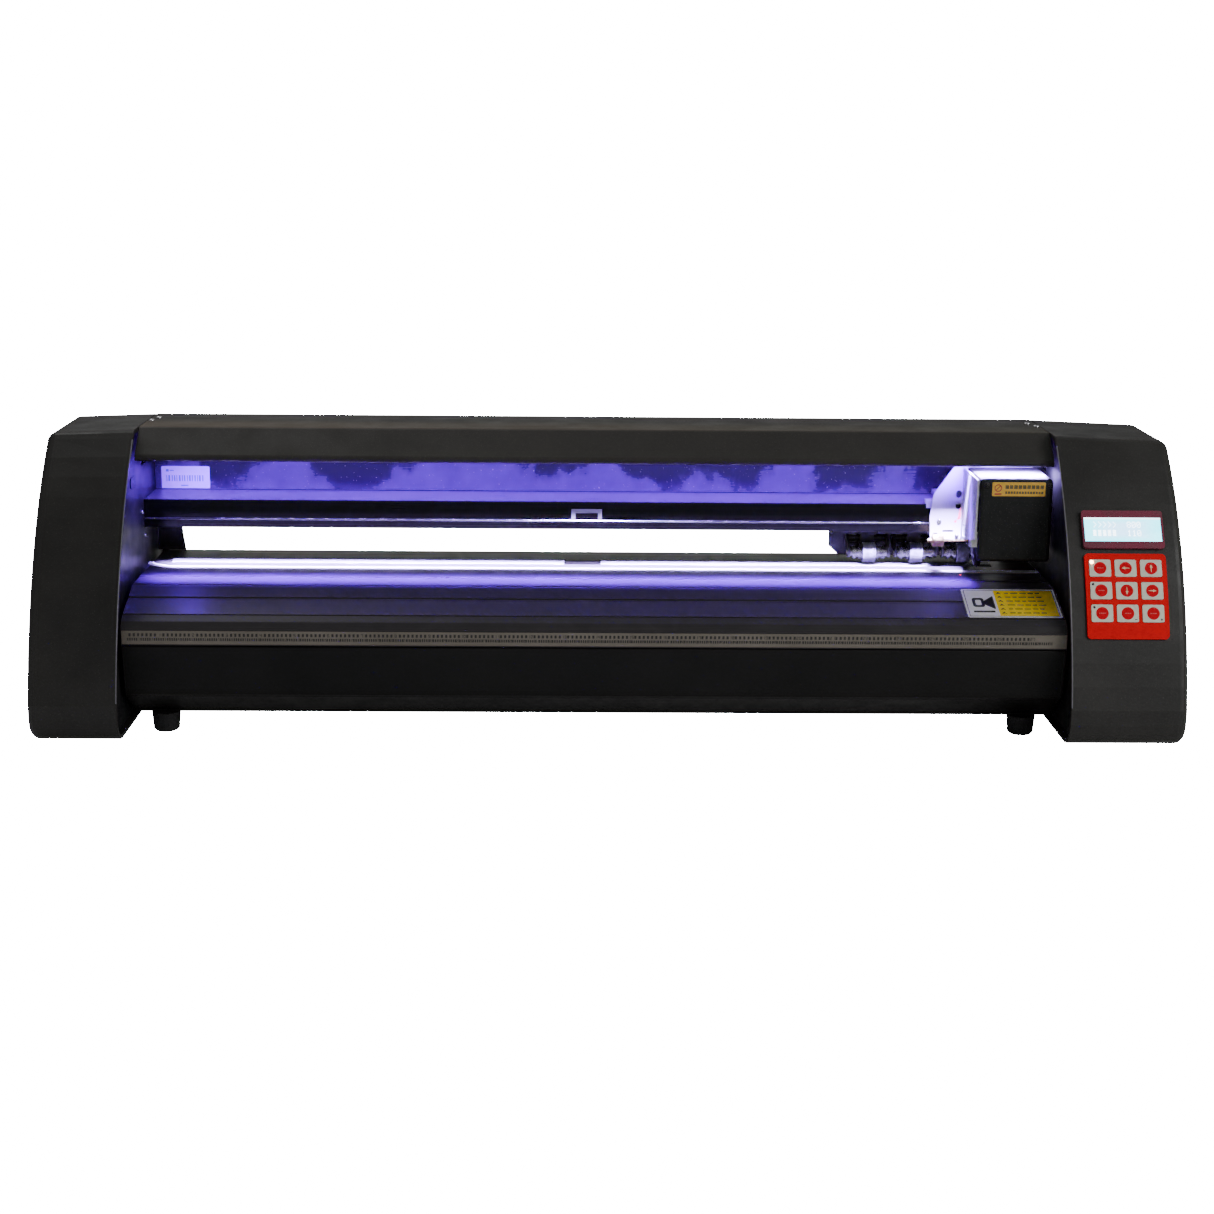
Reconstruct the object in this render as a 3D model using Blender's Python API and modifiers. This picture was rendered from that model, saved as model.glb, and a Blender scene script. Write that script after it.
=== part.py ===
"""Desktop roll-fed vinyl cutter, modelled as separate pieces.

Machine coordinates are millimetres: x runs right from the middle of the overall width, back runs
rearward from a plane just behind the foremost edge of the end casings, and up runs from the
underside of the end casings.
"""
import math

import bmesh
import bpy
from mathutils import Matrix, Vector

MM = 0.001
GAP = 0.3                     # running and assembly gap between neighbouring pieces

# Overall sizes
WIDTH = 874.0
CASING_FRONT, CASING_REAR = -9.0, 241.0
CASING_TOP = 222.0
FOOT_DROP = 8.5               # feet reach this far below the casings
WALL = 3.0                    # casing wall
SHEET = 1.5                   # sheet-metal covers
INNER_LEFT = -369.4           # inner face of the left casing
INNER_RIGHT = 347.6           # inner face of the right casing
OUTER = WIDTH / 2
CASING_DRAFT = 0.04           # fall of the casing tops towards the outside

# Frames stand inside the casing mouths
FRAME_RECESS = 4.0
FRAME_THICK = 2.0
FRAME_LEFT = INNER_LEFT - FRAME_RECESS
FRAME_RIGHT = INNER_RIGHT + FRAME_RECESS

# Front curve of the casings, as three points it passes through (back, up)
FRONT_LOW, FRONT_MID, FRONT_HIGH = (CASING_FRONT, 30.0), (25.0, 126.0), (93.0, 217.0)

# Underside of the beam cover's top, from its front bend to its rear bend (back, up)
BEAM_EDGE, BEAM_REAR = (118.0, 220.4), (196.0, 220.0)

# Rail, platen and rollers
RAIL_FRONT, RAIL_REAR = 142.0, 192.0
RAIL_BOTTOM, RAIL_TOP = 137.0, 158.8
PLATEN_TOP = 106.4
PLATEN_REAR = 200.5
PLATEN_SHEET = 2.5
SLOT_LEFT, SLOT_RIGHT = -355.0, 314.0
ROLLER_BACK = 157.0
GRIT_RADIUS = 9.5
GRIT_TOP = 107.6
ROLLER_UP = GRIT_TOP - GRIT_RADIUS
SUPPORT_LEFT, SUPPORT_RIGHT = -34.5, -6.5
JOURNAL_RADIUS = 5.0
SUPPORT_JOURNAL = 6.0

# Pinch rollers
PINCH_XS = (213.3, 251.8, 290.3)
PINCH_RADIUS = 8.3
PINCH_UP = GRIT_TOP + GAP + PINCH_RADIUS
PINCH_AXLE = 1.9
ARM_PIVOT = (171.0, 125.5)
ARM_CHEEK = (15.4, 17.2)
PIVOT_RADIUS = 2.5

# Carriage belt, in a level loop above the rail
BELT_BACK = 150.0
BELT_UP = (192.0, 198.0)
BELT_THICK = 1.2
BELT_PULLEY = 6.0
BELT_ENDS = (-398.0, 395.0)
SHAFT_RADIUS = 2.5

# Feed drive, inside the right casing
FEED_MOTOR = (81.0, 61.0)
FEED_MOTOR_PULLEY = 8.0
FEED_ROLLER_PULLEY = 16.0
FEED_BELT_X = (358.0, 366.0)

# Carriage
PLATE_BACK = (137.6, 139.6)
CARRIAGE_RIGHT = 342.0
FLANGE_X = (285.0, 286.4)
COVER_X = (286.9, 344.4)
COVER_BACK = (78.0, 136.8)
COVER_UP = (125.5, 191.2)
TOOL_X, TOOL_BACK = 297.0, 128.0
TOOL_RADIUS = 5.6
SCREW_BACK, SCREW_UP = 124.0, 133.2

# Control panel on the front curve of the right casing; places along the curve start at FRONT_LOW
PANEL_X = (359.5, 421.7)
KEYPAD_SPAN = (54.2, 120.2)
KEY_XS = (371.0, 390.4, 409.8)
KEY_PLACES = (108.6, 91.1, 73.7)
KEY_SIZE = (16.4, 13.4)
KEY_LOW, KEY_HIGH = 1.0, 2.3
PANEL_LOW, PANEL_HIGH = 0.35, 1.9
DISPLAY_PLACE = 139.5
DISPLAY_SIZE = (62.2, 31.0)
WINDOW_SIZE = (60.0, 20.8)

# Sockets and switch on the outer side of the right casing: (back, up) of each middle, then sizes
INLET_PLACE, INLET_SIZE = (188.0, 44.0), (28.0, 21.0)
SWITCH_PLACE, SWITCH_SIZE = (150.0, 44.0), (26.0, 15.0)
PORT_PLACE, PORT_SIZE = (117.0, 44.0), (13.0, 12.0)

PARTS = "vinyl_cutter"
CUTTERS = "cutters"

# name: (colour, roughness, metallic)
FINISHES = {
    "powder_black": ((0.028, 0.027, 0.025), 0.55, 0.0),
    "cover_black": ((0.016, 0.016, 0.017), 0.5, 0.0),
    "rail_anodised": ((0.03, 0.03, 0.035), 0.3, 0.6),
    "platen_black": ((0.03, 0.03, 0.035), 0.35, 0.4),
    "bare_steel": ((0.62, 0.62, 0.64), 0.3, 1.0),
    "carriage_grey": ((0.62, 0.62, 0.66), 0.4, 0.1),
    "rubber": ((0.02, 0.02, 0.022), 0.8, 0.0),
    "roller_rubber": ((0.12, 0.12, 0.14), 0.7, 0.0),
    "strip_white": ((0.8, 0.8, 0.8), 0.5, 0.0),
    "ruler_grey": ((0.35, 0.36, 0.32), 0.5, 0.2),
    "light_bar": ((0.35, 0.25, 1.0), 0.4, 0.0),
    "motor_black": ((0.03, 0.03, 0.03), 0.5, 0.3),
    "board_green": ((0.03, 0.16, 0.06), 0.5, 0.0),
    "steel_case": ((0.5, 0.5, 0.5), 0.4, 0.9),
    "socket_black": ((0.02, 0.02, 0.02), 0.4, 0.0),
    "display_maroon": ((0.13, 0.02, 0.03), 0.35, 0.0),
    "display_blue": ((0.15, 0.45, 0.9), 0.2, 0.0),
    "keypad_red": ((0.6, 0.012, 0.012), 0.45, 0.0),
    "key_grey": ((0.55, 0.53, 0.5), 0.45, 0.0),
    "belt_black": ((0.015, 0.015, 0.015), 0.7, 0.0),
    "grit_steel": ((0.4, 0.4, 0.42), 0.6, 0.8),
    "aluminium": ((0.7, 0.7, 0.72), 0.35, 0.9),
    "brass": ((0.72, 0.53, 0.28), 0.3, 0.9),
}


def world(x, back, up):
    """Point of the scene, in metres, for a point in machine coordinates."""
    return Vector((x, back - (CASING_FRONT + CASING_REAR) / 2, up + FOOT_DROP)) * MM


def clear_scene():
    for old in list(bpy.data.objects):
        bpy.data.objects.remove(old, do_unlink=True)
    for name in (PARTS, CUTTERS):
        collection = bpy.data.collections.new(name)
        bpy.context.scene.collection.children.link(collection)


def material(name):
    found = bpy.data.materials.get(name)
    if found:
        return found
    colour, roughness, metallic = FINISHES[name]
    made = bpy.data.materials.new(name)
    made.use_nodes = True
    shader = made.node_tree.nodes["Principled BSDF"]
    shader.inputs["Base Color"].default_value = (*colour, 1.0)
    shader.inputs["Roughness"].default_value = roughness
    shader.inputs["Metallic"].default_value = metallic
    return made


def place(obj, finish):
    """Put an object with a finish among the parts, and one without among the cutters."""
    if finish:
        bpy.data.collections[PARTS].objects.link(obj)
        obj.data.materials.append(material(finish))
    else:
        bpy.data.collections[CUTTERS].objects.link(obj)
        obj.hide_render = True
        obj.display_type = "WIRE"
    return obj


def object_from(name, bm, finish):
    bmesh.ops.recalc_face_normals(bm, faces=bm.faces)
    mesh = bpy.data.meshes.new(name)
    bm.to_mesh(mesh)
    bm.free()
    return place(bpy.data.objects.new(name, mesh), finish)


def smooth(obj, degrees=35.0):
    obj.data.shade_smooth()
    obj.data.set_sharp_from_angle(angle=math.radians(degrees))
    return obj


def bevel(obj, width, segments=2):
    rounding = obj.modifiers.new("rounded_edges", "BEVEL")
    rounding.width = width * MM
    rounding.segments = segments
    rounding.limit_method = "ANGLE"
    rounding.angle_limit = math.radians(50.0)
    return obj


def cut(obj, *cutters):
    for cutter in cutters:
        boolean = obj.modifiers.new("cut", "BOOLEAN")
        boolean.operation = "DIFFERENCE"
        boolean.solver = "EXACT"
        boolean.object = cutter
    return obj


def join(obj, *others):
    for other in others:
        boolean = obj.modifiers.new("join", "BOOLEAN")
        boolean.operation = "UNION"
        boolean.solver = "EXACT"
        boolean.object = other
    return obj


def set_origin(obj, x, back, up):
    """Move an object's origin onto its joint axis, leaving its shape where it is."""
    point = world(x, back, up)
    obj.data.transform(Matrix.Translation(-point))
    obj.location = point
    return obj


def block(name, xs, backs, ups, finish=None):
    low = world(xs[0], backs[0], ups[0])
    high = world(xs[1], backs[1], ups[1])
    bm = bmesh.new()
    bmesh.ops.create_cube(bm, size=1.0)
    bmesh.ops.scale(bm, vec=high - low, verts=bm.verts)
    bmesh.ops.translate(bm, vec=(low + high) / 2, verts=bm.verts)
    return object_from(name, bm, finish)


AXIS_TURNS = {"x": (0, math.pi / 2, 0), "y": (-math.pi / 2, 0, 0), "z": (0, 0, 0)}


def cylinder(name, axis, middle, radius, length, finish=None, sides=24):
    bm = bmesh.new()
    bmesh.ops.create_cone(bm, cap_ends=True, segments=sides, radius1=radius * MM,
                          radius2=radius * MM, depth=length * MM)
    obj = object_from(name, bm, finish)
    obj.rotation_euler = AXIS_TURNS[axis]
    obj.location = world(*middle)
    return smooth(obj)


def turned(name, axis, middle, profile, finish, steps=24):
    """Solid of revolution; profile is (radius, along), listed from the far end to the near end."""
    points = [(0.0, profile[0][1])] + list(profile) + [(0.0, profile[-1][1])]
    bm = bmesh.new()
    verts = [bm.verts.new((radius * MM, 0.0, along * MM)) for radius, along in points]
    for first, second in zip(verts, verts[1:]):
        bm.edges.new((first, second))
    mesh = bpy.data.meshes.new(name)
    bm.to_mesh(mesh)
    bm.free()
    obj = place(bpy.data.objects.new(name, mesh), finish)
    screw = obj.modifiers.new("turn", "SCREW")
    screw.angle = 2 * math.pi
    screw.steps = steps
    screw.render_steps = steps
    screw.use_merge_vertices = True
    screw.merge_threshold = 0.00001
    screw.use_smooth_shade = True
    obj.rotation_euler = AXIS_TURNS[axis]
    obj.location = world(*middle)
    return obj


# Where an outline's own (u, v, thickness) axes point, for each direction of extrusion
OUTLINE_AXES = {
    "x": Matrix(((0, 0, 1), (1, 0, 0), (0, 1, 0))),
    "y": Matrix(((1, 0, 0), (0, 0, -1), (0, 1, 0))),
    "z": Matrix(((1, 0, 0), (0, 1, 0), (0, 0, 1))),
}


def extruded(name, axis, span, loops, finish=None):
    """Flat outline drawn in the two directions other than axis, extruded over span along axis.

    The first loop is the outer edge and any others are holes.
    """
    curve = bpy.data.curves.new(name, "CURVE")
    curve.dimensions = "2D"
    curve.fill_mode = "BOTH"
    curve.extrude = (span[1] - span[0]) / 2 * MM
    for loop in loops:
        spline = curve.splines.new("POLY")
        spline.points.add(len(loop) - 1)
        spline.use_cyclic_u = True
        for point, (across, along) in zip(spline.points, loop):
            point.co = (across * MM, along * MM, 0.0, 1.0)
    guide = bpy.data.objects.new(name + "_outline", curve)
    bpy.context.scene.collection.objects.link(guide)
    bpy.context.view_layer.update()
    graph = bpy.context.evaluated_depsgraph_get()
    mesh = bpy.data.meshes.new_from_object(guide.evaluated_get(graph))
    bpy.data.objects.remove(guide, do_unlink=True)
    bm = bmesh.new()
    bm.from_mesh(mesh)
    bpy.data.meshes.remove(mesh)
    bmesh.ops.remove_doubles(bm, verts=bm.verts, dist=0.000002)
    if len(loops) == 1:
        bmesh.ops.dissolve_limit(bm, angle_limit=math.radians(0.5), verts=bm.verts, edges=bm.edges)
    middle = (span[0] + span[1]) / 2
    offset = {"x": (middle, 0, 0), "y": (0, middle, 0), "z": (0, 0, middle)}[axis]
    turn = Matrix.Translation(world(*offset)) @ OUTLINE_AXES[axis].to_4x4()
    bmesh.ops.transform(bm, matrix=turn, verts=bm.verts)
    return object_from(name, bm, finish)


def sheet(name, path, span, finish, thickness=SHEET):
    """Bent sheet: an open path of (back, up) carried along x, with its thickness to one side."""
    bm = bmesh.new()
    rows = [[bm.verts.new(world(x, back, up)) for x in span] for back, up in path]
    for (a, b), (c, d) in zip(rows, rows[1:]):
        bm.faces.new((a, c, d, b))
    mesh = bpy.data.meshes.new(name)
    bm.to_mesh(mesh)
    bm.free()
    obj = place(bpy.data.objects.new(name, mesh), finish)
    solidify = obj.modifiers.new("thickness", "SOLIDIFY")
    solidify.thickness = thickness * MM
    solidify.offset = -1.0
    solidify.use_even_offset = True
    return obj


def circle(across, along, radius, sides=24):
    return [(across + radius * math.cos(2 * math.pi * i / sides),
             along + radius * math.sin(2 * math.pi * i / sides)) for i in range(sides)]


def rectangle(low, high):
    return [low, (high[0], low[1]), high, (low[0], high[1])]


def rounded(corners, closed=True, step=math.radians(30.0)):
    """Outline through corners (u, v, radius), each one rounded to its radius."""
    points = []
    count = len(corners)
    for i, (u, v, radius) in enumerate(corners):
        corner = Vector((u, v))
        if radius == 0 or (not closed and i in (0, count - 1)):
            points.append((u, v))
            continue
        before = (Vector(corners[i - 1][:2]) - corner).normalized()
        after = (Vector(corners[(i + 1) % count][:2]) - corner).normalized()
        half = before.angle(after) / 2
        centre = corner + (before + after).normalized() * (radius / math.sin(half))
        start = corner + before * (radius / math.tan(half)) - centre
        turn = start.angle_signed(corner + after * (radius / math.tan(half)) - centre)
        steps = max(2, math.ceil(abs(turn) / step))
        for k in range(steps + 1):
            spoke = Matrix.Rotation(-turn * k / steps, 2) @ start
            points.append(tuple(centre + spoke))
    return points


def circle_through(a, b, c):
    """Centre and radius of the circle through three points."""
    (ax, ay), (bx, by), (cx, cy) = a, b, c
    d = 2 * (ax * (by - cy) + bx * (cy - ay) + cx * (ay - by))
    aa, bb, cc = ax * ax + ay * ay, bx * bx + by * by, cx * cx + cy * cy
    x = (aa * (by - cy) + bb * (cy - ay) + cc * (ay - by)) / d
    y = (aa * (cx - bx) + bb * (ax - cx) + cc * (bx - ax)) / d
    return (x, y), math.hypot(ax - x, ay - y)


def arc_through(a, b, c, steps):
    (x, y), radius = circle_through(a, b, c)
    start = math.atan2(a[1] - y, a[0] - x)
    end = math.atan2(c[1] - y, c[0] - x)
    sweep = (end - start + math.pi) % (2 * math.pi) - math.pi
    return [(x + radius * math.cos(start + sweep * i / steps),
             y + radius * math.sin(start + sweep * i / steps)) for i in range(steps + 1)]


def inset(points, distance):
    """Closed outline moved inwards by a distance."""
    count = len(points)
    area = sum(points[i - 1][0] * points[i][1] - points[i][0] * points[i - 1][1]
               for i in range(count))
    side = 1.0 if area > 0 else -1.0
    moved = []
    for i in range(count):
        here = Vector(points[i])
        before = (here - Vector(points[i - 1])).normalized()
        after = (Vector(points[(i + 1) % count]) - here).normalized()
        inward = Vector((-before.y - after.y, before.x + after.x)).normalized() * side
        reach = distance / max(0.3, inward.dot(Vector((-before.y, before.x)) * side))
        moved.append(tuple(here + inward * reach))
    return moved


def pulley_hull(first, first_radius, second, second_radius, steps=12):
    """Loop of a belt stretched round two circles."""
    reach = Vector(second) - Vector(first)
    heading = math.atan2(reach.y, reach.x)
    wrap = math.acos((first_radius - second_radius) / reach.length)
    points = []
    for centre, radius, start, sweep in (
            (second, second_radius, heading - wrap, 2 * wrap),
            (first, first_radius, heading + wrap, 2 * (math.pi - wrap))):
        for i in range(steps + 1):
            angle = start + sweep * i / steps
            points.append((centre[0] + radius * math.cos(angle),
                           centre[1] + radius * math.sin(angle)))
    return points


# ---- End casings and frames ----

def casing_outline(arc_steps=12):
    """Side view of an end casing, as (back, up)."""
    front = [(u, v, 0) for u, v in arc_through(FRONT_LOW, FRONT_MID, FRONT_HIGH, arc_steps)]
    rear = [(u, v, 0) for u, v in arc_through((196, 208), (214, 120), (CASING_REAR, 14), 6)]
    corners = [(CASING_FRONT, 0, 18), *front, (98, CASING_TOP, 6), (193, CASING_TOP, 8), *rear,
               (CASING_REAR, 0, 8)]
    return rounded(corners)


def lean_top(obj, inner):
    """Let the top of a casing fall towards its outer side."""
    for vert in obj.data.vertices:
        up = vert.co.z / MM - FOOT_DROP
        share = min(1.0, max(0.0, (up - 150.0) / (CASING_TOP - 150.0)))
        away = abs(vert.co.x / MM - inner)
        vert.co.z -= CASING_DRAFT * away * share * share * MM


def end_casing(name, inner, side):
    """Moulded casing, open towards the machine; side is -1 on the left and 1 on the right."""
    outer = side * OUTER
    outline = casing_outline()
    body = extruded(name, "x", tuple(sorted((inner, outer))), [outline], "powder_black")
    lean_top(body, inner)
    weights = body.data.attributes.new("bevel_weight_edge", "FLOAT", "EDGE")
    for edge in body.data.edges:
        on_rim = all(abs(body.data.vertices[v].co.x - outer * MM) < 1e-5 for v in edge.vertices)
        weights.data[edge.index].value = 1.0 if on_rim else 0.0
    rim = body.modifiers.new("outer_rim", "BEVEL")
    rim.limit_method = "WEIGHT"
    rim.width = 7.0 * MM
    rim.segments = 4
    mouth = inner - side * 5.0
    cavity = extruded(name + "_cavity", "x", tuple(sorted((mouth, outer - side * WALL))),
                      [inset(outline, WALL)])
    lean_top(cavity, inner)
    return cut(smooth(body, 30.0), cavity)


def side_frame(name, inner, side):
    """Steel side plate with a belt hole, a roller bearing hole and a narrow rear flange."""
    face = inner + side * FRAME_RECESS
    outline = inset(casing_outline(6), WALL + 0.7)
    belt_hole = rectangle((BELT_BACK - 11, 187), (BELT_BACK + 11, 204))
    shaft_hole = circle(ROLLER_BACK, ROLLER_UP, JOURNAL_RADIUS + GAP)
    plate = extruded(name, "x", tuple(sorted((face, face + side * FRAME_THICK))),
                     [outline, belt_hole, shaft_hole], "cover_black")
    lean_top(plate, inner)
    reach_top, reach_foot = face - side * 18.5, face - side * 22.5
    flange = extruded(name + "_flange", "y", (197.0, 199.0),
                      [[(face + side, PLATEN_TOP + GAP), (reach_foot, PLATEN_TOP + GAP),
                        (reach_top, 136.0), (reach_top, 150.0), (face + side, 150.0)]])
    join(plate, flange)
    if side < 0:
        post = cylinder(name + "_idler_post", "z", (BELT_ENDS[0], BELT_BACK, 193.0),
                        SHAFT_RADIUS, 16.0)
        shelf = block(name + "_idler_shelf", (BELT_ENDS[0] - 8, face - 1),
                      (BELT_BACK - 8, BELT_BACK + 8), (183.0, 186.0))
        join(plate, shelf, post)
    return plate


def top_beam_cover():
    path = rounded([(99, 199.6, 0), (91.5, 199.6, 1.6), (*BEAM_EDGE, 3), (*BEAM_REAR, 4),
                    (BEAM_REAR[0], 186, 0)], closed=False)
    return smooth(sheet("top_beam_cover", path, (INNER_LEFT + GAP, INNER_RIGHT - GAP),
                        "powder_black"))


def back_panel():
    return block("back_panel", (FRAME_LEFT + GAP, FRAME_RIGHT - GAP), (192.5, 194.0),
                 (136.0, 190.0), "rail_anodised")


def carriage_rail():
    """Hollow aluminium extrusion with a ledge low on its front face."""
    outline = [(RAIL_FRONT, RAIL_TOP + 0.6), (RAIL_FRONT + 1.6, RAIL_TOP + 0.6),
               (RAIL_FRONT + 2.2, RAIL_TOP), (RAIL_REAR - 2.2, RAIL_TOP),
               (RAIL_REAR - 1.6, RAIL_TOP + 0.6), (RAIL_REAR, RAIL_TOP + 0.6),
               (RAIL_REAR, RAIL_BOTTOM), (RAIL_FRONT - 1.2, RAIL_BOTTOM),
               (RAIL_FRONT - 1.2, RAIL_BOTTOM + 6.2), (RAIL_FRONT, RAIL_BOTTOM + 7.2)]
    hollow = rectangle((RAIL_FRONT + 3, RAIL_BOTTOM + 3), (RAIL_REAR - 3, RAIL_TOP - 3))
    return extruded("carriage_rail", "x", (FRAME_LEFT + GAP, FRAME_RIGHT - GAP),
                    [outline, hollow], "rail_anodised")


def platen():
    """Aluminium table with a roller slot, shallow grooves and a sloping front."""
    top = PLATEN_TOP
    upper = [(PLATEN_REAR, 96), (PLATEN_REAR, top - 1.5), (PLATEN_REAR - 1.5, top),
             (97, top), (96.4, top + 0.7), (95, top + 0.7), (94.4, top),
             (68.8, top), (68.8, top - 1.2), (67.4, top - 1.2), (67.2, top - 0.1),
             (50.6, 100.8), (50.6, 99.8), (45.4, 98.0), (45.4, 99.0),
             (27.2, 92.8), (27.2, 91.6), (25.8, 91.1), (25.8, 92.2),
             (20.0, 88.6), (16.4, 84.0), (16.4, 71.0)]
    lower = [(18.9, 71.0), (18.9, 83.0), (21.8, 86.4), (26.8, 89.4),
             (67.8, top - PLATEN_SHEET), (PLATEN_REAR - PLATEN_SHEET, top - PLATEN_SHEET),
             (PLATEN_REAR - PLATEN_SHEET, 96)]
    table = extruded("platen", "x", (INNER_LEFT + GAP, INNER_RIGHT - GAP), [upper + lower],
                     "platen_black")
    slot = block("platen_slot", (SLOT_LEFT, SLOT_RIGHT), (ROLLER_BACK - 8.5, ROLLER_BACK + 8.5),
                 (top - 6, top + 4))
    return cut(table, slot)


def cutting_strip():
    """Soft strip under the blade, its left end lifting slightly."""
    low, thick, lift, curl = PLATEN_TOP + GAP, 0.7, 3.2, 22.0
    left, right = INNER_LEFT + 1.2, INNER_RIGHT - 1.2
    steps = 6
    rise = [(left + curl * i / steps, low + lift * (1 - i / steps) ** 2) for i in range(steps + 1)]
    under = rise + [(right, low)]
    over = [(x, up + thick) for x, up in reversed(under)]
    return extruded("cutting_strip", "y", (124.6, 131.4), [under + over], "strip_white")


def ruler_strip():
    return block("ruler_strip", (INNER_LEFT + 1.0, INNER_RIGHT - 1.0), (15.5, 16.1),
                 (72.0, 82.4), "ruler_grey")


def front_lower_cover():
    path = rounded([(31, 70.2, 0), (17, 70.2, 1.6), (24, 30, 9), (57.8, 8.7, 0)], closed=False)
    return smooth(sheet("front_lower_cover", path, (INNER_LEFT + GAP, INNER_RIGHT - GAP),
                        "cover_black"))


def rear_lower_cover():
    path = rounded([(214, 7.0, 0), (231, 7.0, 2), (229, 34, 10), (202, 105, 0)], closed=False)
    return smooth(sheet("rear_lower_cover", path, (INNER_LEFT + GAP, INNER_RIGHT - GAP),
                        "cover_black"))


def base_plate():
    return block("base_plate", (INNER_LEFT + GAP, INNER_RIGHT - GAP), (58.6, 213.6), (7.0, 8.5),
                 "cover_black")


def feet():
    top, bottom = 6.7, -FOOT_DROP
    profile = [(11.3, top), (10.2, bottom + 1.6), (8.6, bottom)]
    for name, x, back in (("front_left_foot", -346.0, 62.0), ("front_right_foot", 325.0, 62.0),
                          ("rear_left_foot", -346.0, 200.0), ("rear_right_foot", 325.0, 200.0)):
        turned(name, "z", (x, back, 0.0), profile, "rubber", steps=20)


def led_light_bar():
    return bevel(block("led_light_bar", (INNER_LEFT + 8, INNER_RIGHT - 6), (104.0, 113.0),
                       (200.4, 205.4), "light_bar"), 0.8, 1)


# ---- Drives and electronics ----

def motor(name, axis, middle, shaft_middle, shaft_length):
    """Square stepper motor with its shaft; middle is the middle of the can."""
    half, length = 21.0, 38.0
    reach = {"x": (length / 2, half, half), "z": (half, half, length / 2)}[axis]
    spans = [(m - r, m + r) for m, r in zip(middle, reach)]
    can = bevel(block(name, *spans, "motor_black"), 3.0, 1)
    return join(can, cylinder(name + "_shaft", axis, shaft_middle, SHAFT_RADIUS, shaft_length,
                              sides=16))


def carriage_drive():
    x = BELT_ENDS[1]
    motor("carriage_motor", "z", (x, BELT_BACK, 166.0), (x, BELT_BACK, 191.0), 18.0)
    pulley_span = (BELT_UP[0] - 1, BELT_UP[1] + 1)
    for name, middle in (("belt_idler_pulley", BELT_ENDS[0]), ("belt_drive_pulley", x)):
        rim = circle(middle, BELT_BACK, BELT_PULLEY)
        bore = circle(middle, BELT_BACK, SHAFT_RADIUS + GAP, 16)
        pulley = extruded(name, "z", pulley_span, [rim, bore], "aluminium")
        set_origin(smooth(pulley), middle, BELT_BACK, sum(pulley_span) / 2)
    first, second = (BELT_ENDS[0], BELT_BACK), (x, BELT_BACK)
    inner = BELT_PULLEY + GAP
    outer = inner + BELT_THICK
    extruded("carriage_belt", "z", BELT_UP,
             [pulley_hull(first, outer, second, outer), pulley_hull(first, inner, second, inner)],
             "belt_black")


def feed_drive():
    back, up = FEED_MOTOR
    low, high = FEED_BELT_X
    motor("feed_motor", "x", (393.0, back, up), (366.0, back, up), 18.0)
    pulley = extruded("feed_motor_pulley", "x", (low - 0.5, high + 0.5),
                      [circle(back, up, FEED_MOTOR_PULLEY), circle(back, up, SHAFT_RADIUS + GAP, 16)],
                      "aluminium")
    set_origin(smooth(pulley), (low + high) / 2, back, up)
    roller = (ROLLER_BACK, ROLLER_UP)
    loops = [pulley_hull(FEED_MOTOR, FEED_MOTOR_PULLEY + grow, roller, FEED_ROLLER_PULLEY + grow)
             for grow in (GAP + BELT_THICK, GAP)]
    extruded("feed_belt", "x", FEED_BELT_X, loops, "belt_black")


def feed_roller():
    """Grit roller with journals, a middle bearing neck and its drive pulley."""
    low, high = FEED_BELT_X
    profile = [(JOURNAL_RADIUS, high + 5), (JOURNAL_RADIUS, high + 0.5),
               (FEED_ROLLER_PULLEY, high + 0.5), (FEED_ROLLER_PULLEY, low - 0.5),
               (JOURNAL_RADIUS, low - 0.5), (JOURNAL_RADIUS, SLOT_RIGHT - 1),
               (GRIT_RADIUS, SLOT_RIGHT - 1), (GRIT_RADIUS, SUPPORT_RIGHT + 1),
               (SUPPORT_JOURNAL, SUPPORT_RIGHT + 1), (SUPPORT_JOURNAL, SUPPORT_LEFT - 1),
               (GRIT_RADIUS, SUPPORT_LEFT - 1), (GRIT_RADIUS, SLOT_LEFT + 1),
               (JOURNAL_RADIUS, SLOT_LEFT + 1), (JOURNAL_RADIUS, FRAME_LEFT - 5)]
    return turned("feed_roller", "x", (0.0, ROLLER_BACK, ROLLER_UP), profile, "grit_steel", 32)


def roller_center_support():
    post = block("roller_center_support", (SUPPORT_LEFT, SUPPORT_RIGHT),
                 (ROLLER_BACK - 6.8, ROLLER_BACK + 6.8), (8.8, PLATEN_TOP + 0.5), "cover_black")
    middle = ((SUPPORT_LEFT + SUPPORT_RIGHT) / 2, ROLLER_BACK, ROLLER_UP)
    hole = cylinder("support_bore", "x", middle, SUPPORT_JOURNAL + GAP,
                    SUPPORT_RIGHT - SUPPORT_LEFT + 4)
    return cut(post, hole)


def main_board():
    """Circuit board with its larger components, upright in the right casing."""
    board = block("main_board", (418.0, 419.6), (92.0, 198.0), (64.0, 136.0), "board_green")
    chips = [((108, 124), (84, 100), 3.0), ((140, 152), (78, 90), 2.2), ((168, 190), (98, 112), 9.0),
             ((112, 134), (116, 128), 8.0), ((150, 160), (112, 128), 6.0)]
    for i, (backs, ups, height) in enumerate(chips):
        join(board, block(f"board_component_{i}", (418.0 - height, 418.4), backs, ups))
    return board


def power_supply():
    return bevel(block("power_supply", (186.0, 316.0), (66.0, 140.0), (8.8, 50.0),
                       "steel_case"), 1.5, 1)


def side_hole(name, place_at, size, clearance):
    """Cutter through the outer wall of the right casing."""
    (back, up), (long, high) = place_at, size
    grow = clearance / 2
    return block(name, (OUTER - 6.0, OUTER + 4.0),
                 (back - long / 2 - grow, back + long / 2 + grow),
                 (up - high / 2 - grow, up + high / 2 + grow))


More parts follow.
